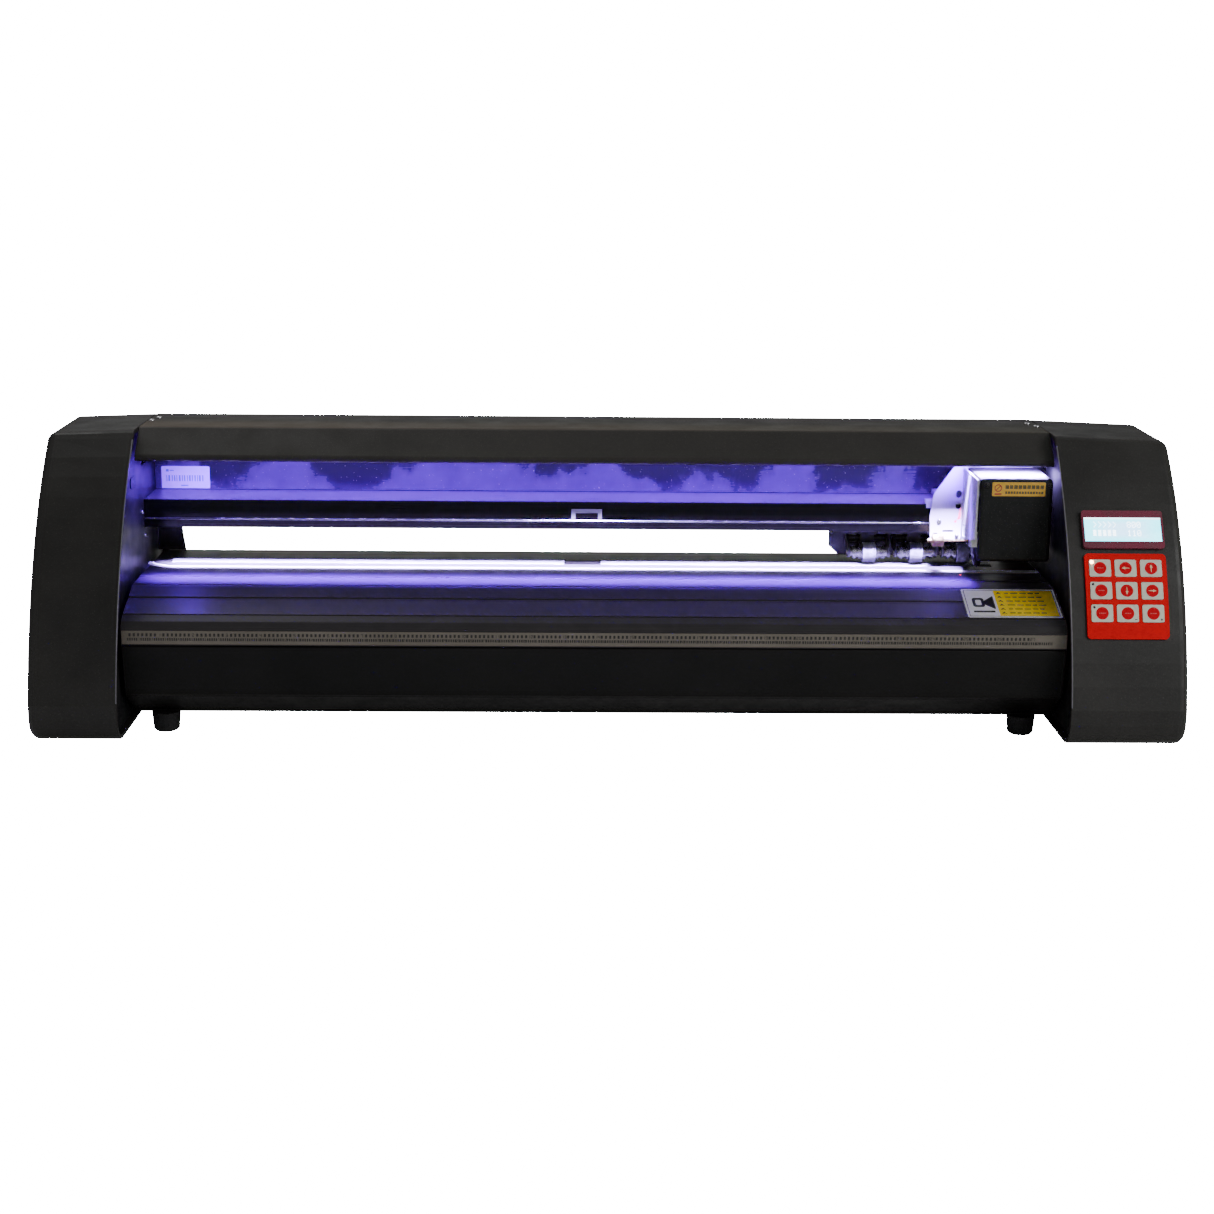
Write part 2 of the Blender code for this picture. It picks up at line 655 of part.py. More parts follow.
def socket(name, place_at, size, depth, rim, finish):
    """Socket shell flush with the side of the right casing, open outwards."""
    (back, up), (long, high) = place_at, size
    face = OUTER
    shell = block(name, (face - depth, face), (back - long / 2, back + long / 2),
                  (up - high / 2, up + high / 2), finish)
    pocket = block(name + "_pocket", (face - depth + 2.5, face + 2.0),
                   (back - long / 2 + rim, back + long / 2 - rim),
                   (up - high / 2 + rim, up + high / 2 - rim))
    return cut(shell, pocket)


def power_rocker():
    """Rocker that tips about an upright axis in its switch shell."""
    (back, up), (long, high) = SWITCH_PLACE, SWITCH_SIZE
    middle = OUTER - 7.2
    reach, height, tilt = long / 2 - 3.4, high / 2 - 2.4, 8.0
    outline = [(-3.0, -reach + 2.6), (5.6, -reach), (4.6, 0.0), (5.6, reach), (-3.0, reach - 2.6)]
    rocker = extruded("power_rocker", "z", (up - height, up + height),
                      [[(middle + across, back + along) for across, along in outline]],
                      "socket_black")
    set_origin(rocker, middle, back, up)
    rocker.data.transform(Matrix.Rotation(math.radians(tilt), 4, "Z"))
    return rocker


# ---- Control panel ----

def panel_turn(along_curve):
    """Point on the front curve and the tilt of its tangent, for a length along the curve."""
    (back, up), radius = circle_through(FRONT_LOW, FRONT_MID, FRONT_HIGH)
    start = math.atan2(FRONT_LOW[1] - up, FRONT_LOW[0] - back)
    angle = start - along_curve / radius
    point = (back + radius * math.cos(angle), up + radius * math.sin(angle))
    return point, angle - math.pi / 2


def panel_block(name, x, along_curve, size, heights, finish=None):
    """Block lying on the front curve: size is across and along it, heights stand off it."""
    (back, up), tilt = panel_turn(along_curve)
    bm = bmesh.new()
    bmesh.ops.create_cube(bm, size=1.0)
    bmesh.ops.scale(bm, vec=Vector((size[0], size[1], heights[1] - heights[0])) * MM,
                    verts=bm.verts)
    bmesh.ops.translate(bm, vec=Vector((0, 0, (heights[0] + heights[1]) / 2)) * MM,
                        verts=bm.verts)
    obj = object_from(name, bm, finish)
    obj.rotation_euler = (tilt, 0, 0)
    obj.location = world(x, back, up)
    return obj


def keypad():
    steps = 12
    places = [KEYPAD_SPAN[0] + (KEYPAD_SPAN[1] - KEYPAD_SPAN[0]) * i / steps
              for i in range(steps + 1)]
    low, high = [], []
    for spot in places:
        (back, up), tilt = panel_turn(spot)
        for height, line in ((PANEL_LOW, low), (PANEL_HIGH, high)):
            line.append((back - height * math.sin(tilt), up + height * math.cos(tilt)))
    pad = extruded("keypad_panel", "x", PANEL_X, [low + high[::-1]], "keypad_red")
    window = (KEY_SIZE[0] + 2 * GAP, KEY_SIZE[1] + 2 * GAP)
    for row, along_curve in enumerate(KEY_PLACES, 1):
        for column, x in enumerate(KEY_XS, 1):
            cut(pad, panel_block(f"key_window_{row}_{column}", x, along_curve, window, (-2, 4)))
            key = panel_block(f"key_{row}_{column}", x, along_curve, KEY_SIZE,
                              (KEY_LOW, KEY_HIGH), "key_grey")
            bevel(key, 0.5, 1)


def display():
    x = sum(PANEL_X) / 2
    frame = panel_block("display_frame", x, DISPLAY_PLACE, DISPLAY_SIZE, (0.4, 2.9),
                        "display_maroon")
    window = panel_block("display_window", x, DISPLAY_PLACE, WINDOW_SIZE, (-2, 6))
    cut(bevel(frame, 1.2, 2), window)
    module = (WINDOW_SIZE[0] - 2 * GAP, WINDOW_SIZE[1] - 2 * GAP)
    panel_block("display_module", x, DISPLAY_PLACE, module, (-7, 2.3), "display_blue")
    hole = (WINDOW_SIZE[0] + 0.8, WINDOW_SIZE[1] + 0.8)
    return panel_block("display_hole", x, DISPLAY_PLACE, hole, (-12, 8))


# ---- Carriage ----

def carriage_plate():
    """Bent plate: an upright face across the rail and a flange running forward."""
    outline = rounded([(277, 190.6, 2), (261.5, 168, 6), (259.5, 150, 4), (260.5, 131.5, 2),
                       (CARRIAGE_RIGHT, 131.5, 2), (CARRIAGE_RIGHT, 190.6, 2)])
    holes = [rounded([(279.8, up - 3.2, 2.2), (284.3, up - 3.2, 2.2), (284.3, up + 3.2, 2.2),
                      (279.8, up + 3.2, 2.2)]) for up in (168.5, 159.4)]
    holes += [rectangle((270.0, 137.2), (279.0, 139.0)), rectangle((262.6, 135.4), (266.4, 136.8))]
    plate = extruded("carriage_plate", "y", PLATE_BACK, [outline, *holes], "carriage_grey")
    front, rear = COVER_BACK[0] + 1.5, PLATE_BACK[0] + 0.5
    flange = extruded("carriage_flange", "x", FLANGE_X,
                      [[(front, 143.3), (rear, 131.9), (rear, 190.2), (front, 190.2)]])
    window = extruded("flange_window", "x", (FLANGE_X[0] - 3, FLANGE_X[1] + 3),
                      [rounded([(117.5, 137.0, 3), (131.0, 135.4, 3), (131.0, 146.0, 3),
                                (117.5, 146.0, 3)])])
    return cut(join(plate, flange), window)


def carriage_cover():
    cover = bevel(block("carriage_cover", COVER_X, COVER_BACK, COVER_UP, "cover_black"), 3.0, 3)
    cavity = block("carriage_cover_cavity", (COVER_X[0] - 5, COVER_X[1] - 2),
                   (COVER_BACK[0] + 2, COVER_BACK[1] + 5), (COVER_UP[0] - 5, COVER_UP[1] - 2))
    return cut(cover, cavity)


def carriage_slider():
    """Shoe on the rail, with a stop tab at its left and the belt clamp standing on it."""
    low, high = RAIL_TOP + 0.9, RAIL_TOP + 5
    shoe = block("carriage_slider", (268.5, 335.0), (RAIL_FRONT - 1.8, 188.0), (low, high),
                 "carriage_grey")
    tab = block("slider_tab", (256.0, 269.5), (RAIL_FRONT - 1.2, RAIL_FRONT + 5.4),
                (low + 0.4, high - 0.6))
    lip = block("slider_lip", (256.6, 270.0), (RAIL_FRONT - 1.5, RAIL_FRONT - 0.4),
                (RAIL_TOP - 2.4, high - 1.2))
    post = block("belt_clamp_post", (300.0, 318.0), (140.6, 149.0), (RAIL_TOP + 4, 191.0))
    front_strand = BELT_BACK - BELT_PULLEY - GAP - BELT_THICK / 2
    jaws = [block(f"belt_clamp_jaw_{i}", (300.0, 318.0), (front_strand + near, front_strand + far),
                  (190.0, BELT_UP[1])) for i, (near, far) in enumerate(((-2.6, -1.0), (1.0, 3.0)))]
    return join(shoe, tab, lip, post, *jaws)


def tool_holder():
    clamp_up = (128.6, 141.0)
    clamp = extruded("tool_slide", "z", clamp_up,
                     [rounded([(289, 119.5, 2), (305, 119.5, 2), (305, 136.8, 1), (289, 136.8, 1)]),
                      circle(TOOL_X, TOOL_BACK, TOOL_RADIUS + GAP)], "aluminium")
    set_origin(clamp, TOOL_X, TOOL_BACK, sum(clamp_up) / 2)
    profile = [(4.2, 168), (5.0, 167), (5.0, 152), (TOOL_RADIUS + 1.2, 151), (TOOL_RADIUS + 1.2, 142),
               (TOOL_RADIUS, 141.6), (TOOL_RADIUS, 122), (4.0, 119), (3.0, 112.6), (0.8, 112),
               (0.4, 110.8)]
    turned("blade_holder", "z", (TOOL_X, TOOL_BACK, 0.0), profile, "socket_black")
    knob = [(0.9, 288.6), (0.9, 269.0), (4.6, 268.6), (5.0, 268.0), (5.0, 260.0), (4.6, 259.4),
            (1.6, 259.2), (1.6, 256.6), (1.0, 255.8)]
    turned("clamp_knob", "x", (0.0, SCREW_BACK, SCREW_UP), knob, "brass", 20)


# ---- Pinch rollers ----

def pinch_unit(number, x):
    """Carrier under the rail, tilting fork with a rear lever, and the roller on its axle."""
    pivot_back, pivot_up = ARM_PIVOT
    hanger = [(160, 131), (178, 131), (178, 109.6), (181, 109.6), (181, 131.4), (187, 131.4),
              (187, RAIL_BOTTOM - GAP), (160, RAIL_BOTTOM - GAP)]
    carrier = extruded(f"pinch_carrier_{number}", "x", (x - 30.0, x + 8.2), [hanger],
                       "cover_black")
    lug = block(f"carrier_lug_{number}", (x - 5.5, x + 5.5), (166.0, 178.5), (119.8, 131.5))
    bore = cylinder(f"carrier_bore_{number}", "x", (x, pivot_back, pivot_up),
                    PIVOT_RADIUS + GAP, 16.0, sides=16)
    lever_slot = block(f"lever_slot_{number}", (x - 14.2, x - 6.8), (177.0, 182.0),
                       (120.8, 130.6))
    corner = extruded(f"carrier_corner_{number}", "y", (175.0, 184.0),
                      [[(x - 32, 119), (x - 32, 108), (x - 20, 108)]])
    cut(join(carrier, lug), bore, lever_slot, corner)

    cheek = rounded([(152.6, 112.6, 3), (161.0, 112.0, 2), (175.0, 121.0, 3), (174.6, 130.0, 3),
                     (167.5, 129.6, 2), (153.0, 120.8, 3)])
    axle_hole = circle(ROLLER_BACK, PINCH_UP, PINCH_AXLE + GAP, 16)
    near, far = ARM_CHEEK
    arm = extruded(f"pinch_arm_{number}", "x", (x - far, x - near), [cheek, axle_hole],
                   "cover_black")
    other = extruded(f"arm_cheek_{number}", "x", (x + near, x + far), [cheek, axle_hole])
    bar = cylinder(f"arm_bar_{number}", "x", (x, pivot_back, pivot_up), PIVOT_RADIUS,
                   2 * near + 1.0, sides=16)
    lever = extruded(f"arm_lever_{number}", "x", (x - 12.8, x - 8.2),
                     [[(169.6, 124.0), (205.0, 125.6), (208.0, 127.0), (205.0, 128.8),
                       (170.6, 127.4)]])
    stop = block(f"arm_stop_{number}", (x - 15.2, x - 5.8), (185.6, 187.2), (119.8, 130.2))
    join(arm, bar, lever, stop, other)
    set_origin(arm, x, pivot_back, pivot_up)

    half = [(PINCH_RADIUS - 0.6, 5.9), (5.6, 6.1), (5.6, 8.2), (4.2, 8.6), (4.2, 10.8), (5.4, 11.0),
            (5.4, 13.2), (3.4, 13.6), (3.4, 14.8), (PINCH_AXLE, 15.0), (PINCH_AXLE, 17.8)]
    right = list(reversed(half))
    tread = [(PINCH_RADIUS, 5.3), (PINCH_RADIUS, -5.3)]
    left = [(radius, -along) for radius, along in half]
    turned(f"pinch_roller_{number}", "x", (x, ROLLER_BACK, PINCH_UP), right + tread + left,
           "roller_rubber")


def build():
    clear_scene()
    end_casing("left_end_casing", INNER_LEFT, -1)
    right_casing = end_casing("right_end_casing", INNER_RIGHT, 1)
    side_frame("left_side_frame", INNER_LEFT, -1)
    side_frame("right_side_frame", INNER_RIGHT, 1)
    top_beam_cover()
    back_panel()
    carriage_rail()
    platen()
    cutting_strip()
    ruler_strip()
    front_lower_cover()
    rear_lower_cover()
    base_plate()
    feet()
    led_light_bar()
    carriage_drive()
    feed_drive()
    feed_roller()
    roller_center_support()
    main_board()
    power_supply()
    socket("power_inlet", INLET_PLACE, INLET_SIZE, 20.0, 2.5, "socket_black")
    socket("data_port", PORT_PLACE, PORT_SIZE, 14.0, 1.6, "steel_case")
    socket("switch_housing", SWITCH_PLACE, SWITCH_SIZE, 16.0, 1.8, "socket_black")
    power_rocker()
    cut(right_casing, display(),
        side_hole("inlet_hole", INLET_PLACE, INLET_SIZE, 0.8),
        side_hole("port_hole", PORT_PLACE, PORT_SIZE, 0.8),
        side_hole("switch_hole", SWITCH_PLACE, SWITCH_SIZE, 0.8))
    keypad()
    carriage_plate()
    carriage_cover()
    carriage_slider()
    tool_holder()
    for number, x in enumerate(PINCH_XS, 1):
        pinch_unit(number, x)


build()
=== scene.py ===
"""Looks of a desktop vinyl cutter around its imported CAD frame: materials, small pieces, lights, camera.

Machine coordinates are millimetres, as in the design: x from the middle of the width, back from just
behind the foremost edge of the end casings, up from the underside of the end casings.
"""
import math

import bmesh
import bpy
from mathutils import Matrix, Vector
from mathutils.geometry import tessellate_polygon


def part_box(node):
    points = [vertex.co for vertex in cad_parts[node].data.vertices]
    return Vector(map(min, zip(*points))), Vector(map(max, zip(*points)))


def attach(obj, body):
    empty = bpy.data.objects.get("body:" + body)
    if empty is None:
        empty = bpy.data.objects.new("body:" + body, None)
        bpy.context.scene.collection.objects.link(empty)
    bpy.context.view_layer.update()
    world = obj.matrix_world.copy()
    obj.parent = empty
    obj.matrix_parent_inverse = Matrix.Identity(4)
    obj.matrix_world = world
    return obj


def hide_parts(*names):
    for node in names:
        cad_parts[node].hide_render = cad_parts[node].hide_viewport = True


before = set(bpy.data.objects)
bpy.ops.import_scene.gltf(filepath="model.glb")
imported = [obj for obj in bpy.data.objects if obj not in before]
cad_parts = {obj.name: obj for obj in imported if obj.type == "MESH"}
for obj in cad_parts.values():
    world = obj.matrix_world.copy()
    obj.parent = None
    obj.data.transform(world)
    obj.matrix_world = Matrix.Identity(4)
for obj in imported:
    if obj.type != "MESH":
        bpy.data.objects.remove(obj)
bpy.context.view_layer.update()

MM = 0.001
CASING_REAR = 241.0
CASING_LOW, CASING_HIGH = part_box("left_end_casing")
MACHINE = Matrix.Translation((0.0, CASING_HIGH.y - CASING_REAR * MM, CASING_LOW.z))
INNER_LEFT = CASING_HIGH.x / MM
INNER_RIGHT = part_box("right_end_casing")[0].x / MM


def in_machine(point):
    """Machine coordinates, in mm, of a point of the scene."""
    return (MACHINE.inverted() @ Vector(point)) / MM


def span(node):
    """Lowest and highest corner of a CAD node in machine coordinates."""
    low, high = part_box(node)
    return in_machine(low), in_machine(high)


def middle_of(node):
    low, high = span(node)
    return (low + high) / 2


CARRIAGE_FACE = span("carriage_plate")[1].y - 2.0   # front of the plate's upright face
PLATEN_TOP = 106.4
FRAME_FACE = INNER_LEFT - 4.0                       # inner face of the left side frame
LAID_ALONG_X = Matrix.Rotation(math.pi / 2, 4, "Y")

# ---- Materials ----

SHADER_SOCKETS = {"metallic": "Metallic", "shine": "Specular IOR Level", "roughness": "Roughness",
                  "glow": "Emission Color"}


class Finish:
    """A Principled material and its node tree."""

    def __init__(self, name, **plain):
        """plain gives shader values that are the same all over."""
        self.material = bpy.data.materials.new(name)
        self.material.use_nodes = True
        self.nodes = self.material.node_tree.nodes
        self.links = self.material.node_tree.links
        self.shader = self.nodes["Principled BSDF"]
        for key, value in plain.items():
            self.feed(self.shader.inputs[SHADER_SOCKETS[key]], value)

    def feed(self, socket, value):
        """Link a socket to another one, or set it to a number, a vector or a colour."""
        if isinstance(value, bpy.types.NodeSocket):
            self.links.new(value, socket)
        elif socket.type == "RGBA":
            socket.default_value = (*value, 1.0)
        else:
            socket.default_value = value

    def node(self, kind, **inputs):
        made = self.nodes.new("ShaderNode" + kind)
        for name, value in inputs.items():
            self.feed(made.inputs[name], value)
        return made

    def position(self, stretch=(1.0, 1.0, 1.0)):
        place = self.node("TexCoord").outputs["Object"]
        return self.node("Mapping", Vector=place, Scale=stretch).outputs["Vector"]

    def axes(self, vector=None):
        """X, Y and Z of the object position, or of another vector."""
        source = self.position() if vector is None else vector
        return self.node("SeparateXYZ", Vector=source).outputs

    def upward(self):
        """Z of the surface's normal: 1 where it faces straight up."""
        return self.axes(self.node("NewGeometry").outputs["Normal"])["Z"]

    def noise(self, size, stretch=(1.0, 1.0, 1.0), detail=3.0, roughness=0.5, distortion=0.0):
        """Noise whose features are about size mm across, longer where stretch is below 1."""
        return self.node("TexNoise", Vector=self.position(stretch), Scale=1.0 / (size * MM), Detail=detail,
                         Roughness=roughness, Distortion=distortion).outputs["Fac"]

    def mottle(self, size, low=0.0, high=1.0, **form):
        """Noise whose usual range is spread from low to high."""
        return self.remap(self.noise(size, **form), 0.3, 0.7, low, high)

    def cells(self, size, stretch=(1.0, 1.0, 1.0)):
        return self.node("TexVoronoi", Vector=self.position(stretch),
                         Scale=1.0 / (size * MM)).outputs["Distance"]

    def remap(self, value, low, high, to_low=0.0, to_high=1.0, smooth=False):
        node = self.node("MapRange")
        node.interpolation_type = "SMOOTHSTEP" if smooth else "LINEAR"
        for socket, number in zip(node.inputs, (value, low, high, to_low, to_high)):
            self.feed(socket, number)
        return node.outputs["Result"]

    def math(self, operation, first, second=0.0):
        node = self.node("Math")
        node.operation = operation
        self.feed(node.inputs[0], first)
        self.feed(node.inputs[1], second)
        return node.outputs["Value"]

    def blend(self, share, first, second):
        """Colour between two colours, each a tuple or a socket."""
        node = self.node("Mix", Factor=share)
        node.data_type = "RGBA"
        self.feed(node.inputs[6], first)
        self.feed(node.inputs[7], second)
        return node.outputs[2]

    def colour(self, value):
        self.links.new(value, self.shader.inputs["Base Color"])

    def rough(self, value):
        self.links.new(value, self.shader.inputs["Roughness"])

    def glow(self, strength):
        self.links.new(strength, self.shader.inputs["Emission Strength"])

    def bump(self, height, depth, under=None):
        """Relief of depth mm; under is an earlier relief that this one lies on."""
        node = self.node("Bump", Height=height, Distance=depth * MM, Strength=1.0)
        if under is not None:
            self.links.new(under, node.inputs["Normal"])
        self.links.new(node.outputs["Normal"], self.shader.inputs["Normal"])
        return node.outputs["Normal"]

    def follow(self, pattern, first, second, smooth, coarse, relief, depth):
        """Let colour and roughness follow one pattern, over a relief; gives the finished material."""
        self.colour(self.blend(pattern, first, second))
        self.rough(self.remap(pattern, 0.0, 1.0, smooth, coarse))
        self.bump(relief, depth)
        return self.material


def scaled(colour, factor):
    return tuple(channel * factor for channel in colour)


def powder_coat(name, colour, roughness=0.5, grain=0.9, depth=0.05, spread=0.35, shine=0.4):
    """Baked powder paint: orange-peel relief, fine pale specks and slow changes of shade."""
    made = Finish(name, shine=shine)
    slow = made.mottle(70.0, detail=4.0)
    base = made.blend(slow, scaled(colour, 1.0 - spread), scaled(colour, 1.0 + spread))
    specks = made.remap(made.noise(grain * 0.8, detail=2.0), 0.62, 0.75)
    made.colour(made.blend(specks, base, scaled(colour, 2.6)))
    made.rough(made.mottle(25.0, roughness - 0.07, roughness + 0.09, detail=5.0))
    peel = made.bump(made.noise(grain * 2.6, detail=1.0), depth)
    made.bump(made.noise(grain * 0.7, detail=2.0), depth * 0.6, peel)
    return made.material


def dusty_coat(name, colour):
    """Powder paint on the beam, with a pale band painted on its top just behind the front bend, paler towards
    the left: a painted reflection of the overhead light.
    """
    made = Finish(name, shine=0.3)
    low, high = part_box("top_beam_cover")
    depth = high.y - low.y
    place = made.axes()
    flat = made.remap(made.upward(), 0.85, 0.98)
    front = made.remap(place["Y"], low.y + depth * 0.38, low.y + depth * 0.68, 1.0, 0.0, smooth=True)
    # The pale band: a painted reflection of the overhead light on flat tops, strongest just behind the front
    # bend.
    dust = made.math("MULTIPLY", made.math("MULTIPLY", flat, front), made.mottle(40.0, 0.75, 1.0, detail=4.0))
    # Colour of the painted reflection, paler at the left end.
    sheen_tint = made.blend(made.remap(place["X"], low.x, high.x), (0.11, 0.085, 0.06), (0.05, 0.045, 0.03))
    paint = made.blend(made.mottle(70.0, detail=4.0), scaled(colour, 0.85), scaled(colour, 1.15))
    specks = made.remap(made.noise(0.6, detail=2.0), 0.62, 0.75)
    paint = made.blend(specks, paint, scaled(colour, 2.4))
    made.colour(made.blend(dust, paint, sheen_tint))
    made.rough(made.mottle(25.0, 0.5, 0.64, detail=5.0))
    peel = made.bump(made.noise(1.8, detail=1.0), 0.05)
    made.bump(made.noise(0.5, detail=2.0), 0.03, peel)
    return made.material


def moulded(name, colour, roughness=0.45, grain=0.5, depth=0.02, dust=0.12, shine=0.5):
    """Moulded plastic with a fine etched grain, rubbed patches and a little dust."""
    made = Finish(name, shine=shine)
    rubbed = made.remap(made.noise(18.0, detail=5.0, distortion=0.6), 0.35, 0.7)
    base = made.blend(rubbed, scaled(colour, 0.8), scaled(colour, 1.25))
    specks = made.remap(made.noise(0.7, detail=1.0), 0.68, 0.74, 0.0, dust)
    made.colour(made.blend(specks, base, (0.5, 0.5, 0.5)))
    made.rough(made.remap(rubbed, 0.0, 1.0, roughness + 0.08, roughness - 0.08))
    made.bump(made.cells(grain), depth)
    return made.material


ALONG_X = (0.01, 1.0, 1.0)   # stretch of noise into streaks along the machine


def drawn_metal(name, colour, roughness, metallic, along=ALONG_X, streak=0.5, depth=0.01, smudge=0.25,
                shine=0.5):
    """Drawn, brushed or anodised metal: streaks along one axis and faint handling smudges."""
    made = Finish(name, metallic=metallic, shine=shine)
    streaks = made.noise(streak, along, detail=4.0, roughness=0.7)
    smudges = made.remap(made.noise(30.0, detail=5.0, distortion=1.2), 0.35, 0.75)
    shade = made.blend(streaks, scaled(colour, 0.75), scaled(colour, 1.25))
    made.colour(made.blend(made.remap(smudges, 0.0, 1.0, 0.0, smudge), shade, scaled(colour, 1.9)))
    worn = made.math("ADD", made.remap(streaks, 0.3, 0.7, -0.07, 0.07),
                     made.remap(smudges, 0.0, 1.0, 0.0, smudge * 0.5))
    made.rough(made.math("ADD", worn, roughness))
    made.bump(streaks, depth)
    return made.material


def rubber(name, colour, roughness=0.75):
    made = Finish(name)
    chalk = made.remap(made.noise(6.0, detail=6.0, distortion=0.5), 0.4, 0.8)
    return made.follow(chalk, colour, scaled(colour, 2.0), roughness - 0.1, roughness + 0.12,
                       made.noise(0.4), 0.03)


def cloudy_wall(name):
    """Dark polished wall with banks of pale haze rising from its foot."""
    made = Finish(name, metallic=0.2)
    low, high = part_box("back_panel")
    rise = made.remap(made.axes()["Z"], low.z + 0.024, high.z - 0.006)
    banks = made.remap(made.noise(44.0, (1.0, 1.0, 0.7), detail=4.0, roughness=0.55, distortion=0.25),
                       0.36, 0.66)
    cover = made.math("SUBTRACT", banks, made.math("MULTIPLY", rise, 0.62))
    haze = made.math("MULTIPLY", made.remap(cover, -0.14, 0.4, smooth=True),
                     made.mottle(14.0, 0.75, 1.0, detail=4.0))
    specks = made.remap(made.noise(1.1, detail=1.0), 0.75, 0.79, 0.0, 0.6)
    base = made.blend(haze, (0.016, 0.014, 0.018), (0.07, 0.064, 0.078))
    made.colour(made.blend(specks, base, (0.5, 0.5, 0.5)))
    made.rough(made.math("ADD", made.remap(haze, 0.0, 1.0, 0.2, 0.4),
                         made.mottle(1.2, -0.04, 0.04, stretch=(0.06, 1.0, 1.0))))
    made.bump(made.noise(60.0, detail=1.0), 0.2)
    return made.material


def rail_metal(name):
    """Drawn rail, black anodised: its upward faces are painted pale as painted light from the light bar
    above, and its sides are painted near-black as painted shade.
    """
    made = Finish(name, metallic=0.3, shine=0.25)
    # Faces that look up get the pale colour as painted light; the other faces get near-black as painted
    # shade.
    top = made.remap(made.upward(), 0.7, 0.9)
    streaks = made.noise(0.5, ALONG_X, detail=4.0, roughness=0.7)
    stains = made.remap(made.noise(26.0, (0.5, 1.0, 1.0), detail=5.0), 0.35, 0.75)
    black = made.blend(streaks, (0.0012, 0.0011, 0.0012), (0.0028, 0.0026, 0.0028))
    clear = made.blend(stains, (0.2, 0.19, 0.21), (0.25, 0.24, 0.26))
    made.colour(made.blend(top, black, clear))
    worn = made.math("ADD", made.remap(streaks, 0.3, 0.7, -0.05, 0.05),
                     made.remap(stains, 0.0, 1.0, 0.0, 0.06))
    made.rough(made.math("ADD", worn, 0.3))
    made.bump(streaks, 0.008)
    return made.material


def gritted(name):
    """Steel with a sintered grit band."""
    made = Finish(name, metallic=0.9)
    grains = made.cells(0.45)
    made.colour(made.blend(made.remap(grains, 0.1, 0.6), (0.62, 0.62, 0.66), (0.3, 0.3, 0.33)))
    made.rough(made.mottle(4.0, 0.45, 0.62, detail=4.0))
    made.bump(grains, 0.08)
    return made.material


def printed_strip(name):
    """Pale metal-faced scale strip, aged unevenly."""
    made = Finish(name, metallic=0.1)
    aged = made.remap(made.noise(24.0, (0.5, 1.0, 1.0), detail=5.0), 0.3, 0.75)
    fine = made.noise(0.5, (0.1, 1.0, 1.0))
    shade = made.blend(fine, (0.13, 0.117, 0.09), (0.18, 0.16, 0.127))
    return made.follow(aged, shade, (0.2, 0.18, 0.147), 0.4, 0.6, fine, 0.01)


LAMP_PITCH = 1000.0 / 60   # mm between the lamps of the light bar


def lamp_strip(name, colour, strength):
    """Milky cover of a light bar: brighter over each of its evenly spaced lamps."""
    made = Finish(name, roughness=0.35, glow=colour)
    turns = made.math("MULTIPLY", made.axes()["X"], 2 * math.pi / (LAMP_PITCH * MM))
    wave = made.math("COSINE", turns)
    made.colour(made.blend(made.remap(wave, -1.0, 1.0), scaled(colour, 0.6), colour))
    made.glow(made.math("MULTIPLY", made.remap(wave, -1.0, 1.0, 0.55 * strength, 1.3 * strength),
                        made.mottle(8.0, 0.9, 1.05)))
    return made.material


def circuit_board(name):
    made = Finish(name)
    lines = made.remap(made.cells(6.0, (0.2, 1.0, 0.5)), 0.32, 0.36)
    return made.follow(lines, (0.02, 0.13, 0.05), (0.035, 0.22, 0.09), 0.32, 0.42, lines, 0.03)


def printed(name, colour, roughness=0.4, wear=0.15, shine=0.5):
    """Screen-printed or sticker ink: slightly uneven in shade and gloss."""
    made = Finish(name, shine=shine)
    uneven = made.mottle(5.0, detail=4.0)
    return made.follow(uneven, scaled(colour, 1.0 - wear), scaled(colour, 1.0 + wear * 0.5),
                       roughness - 0.05, roughness + 0.08, made.noise(0.35, detail=2.0), 0.004)


def glowing(name, colour, strength, base=None):
    """Lit plastic or glass with a slightly uneven glow."""
    made = Finish(name, glow=colour)
    uneven = made.mottle(3.0)
    made.colour(made.blend(uneven, scaled(base or colour, 0.8), base or colour))
    made.rough(made.remap(uneven, 0.0, 1.0, 0.2, 0.35))
    made.glow(made.remap(uneven, 0.0, 1.0, strength * 0.92, strength * 1.06))
    return made.material


def display_glass(name, half_width, half_height):
    """Backlit liquid crystal: cyan light, whiter along its top edge and greyer in the middle."""
    made = Finish(name)
    parts = made.axes()
    side = made.remap(made.math("ABSOLUTE", parts["X"]), 0.25 * half_width * MM, half_width * MM, smooth=True)
    level = made.remap(made.math("ABSOLUTE", parts["Y"]), 0.35 * half_height * MM, half_height * MM,
                       smooth=True)
    edge = made.math("MAXIMUM", side, level)
    body = made.blend(edge, (0.4, 0.72, 1.0), (0.12, 0.85, 1.0))
    top = made.remap(parts["Y"], 0.78 * half_height * MM, half_height * MM, smooth=True)
    made.colour(made.blend(edge, (0.1, 0.2, 0.5), (0.05, 0.25, 0.6)))
    made.links.new(made.blend(top, body, (0.8, 0.9, 1.0)), made.shader.inputs["Emission Color"])
    made.glow(made.mottle(1.6, 4.6, 5.2, detail=2.0))
    made.rough(made.mottle(8.0, 0.08, 0.16))
    return made.material


VIOLET = (0.15, 0.0, 1.0)

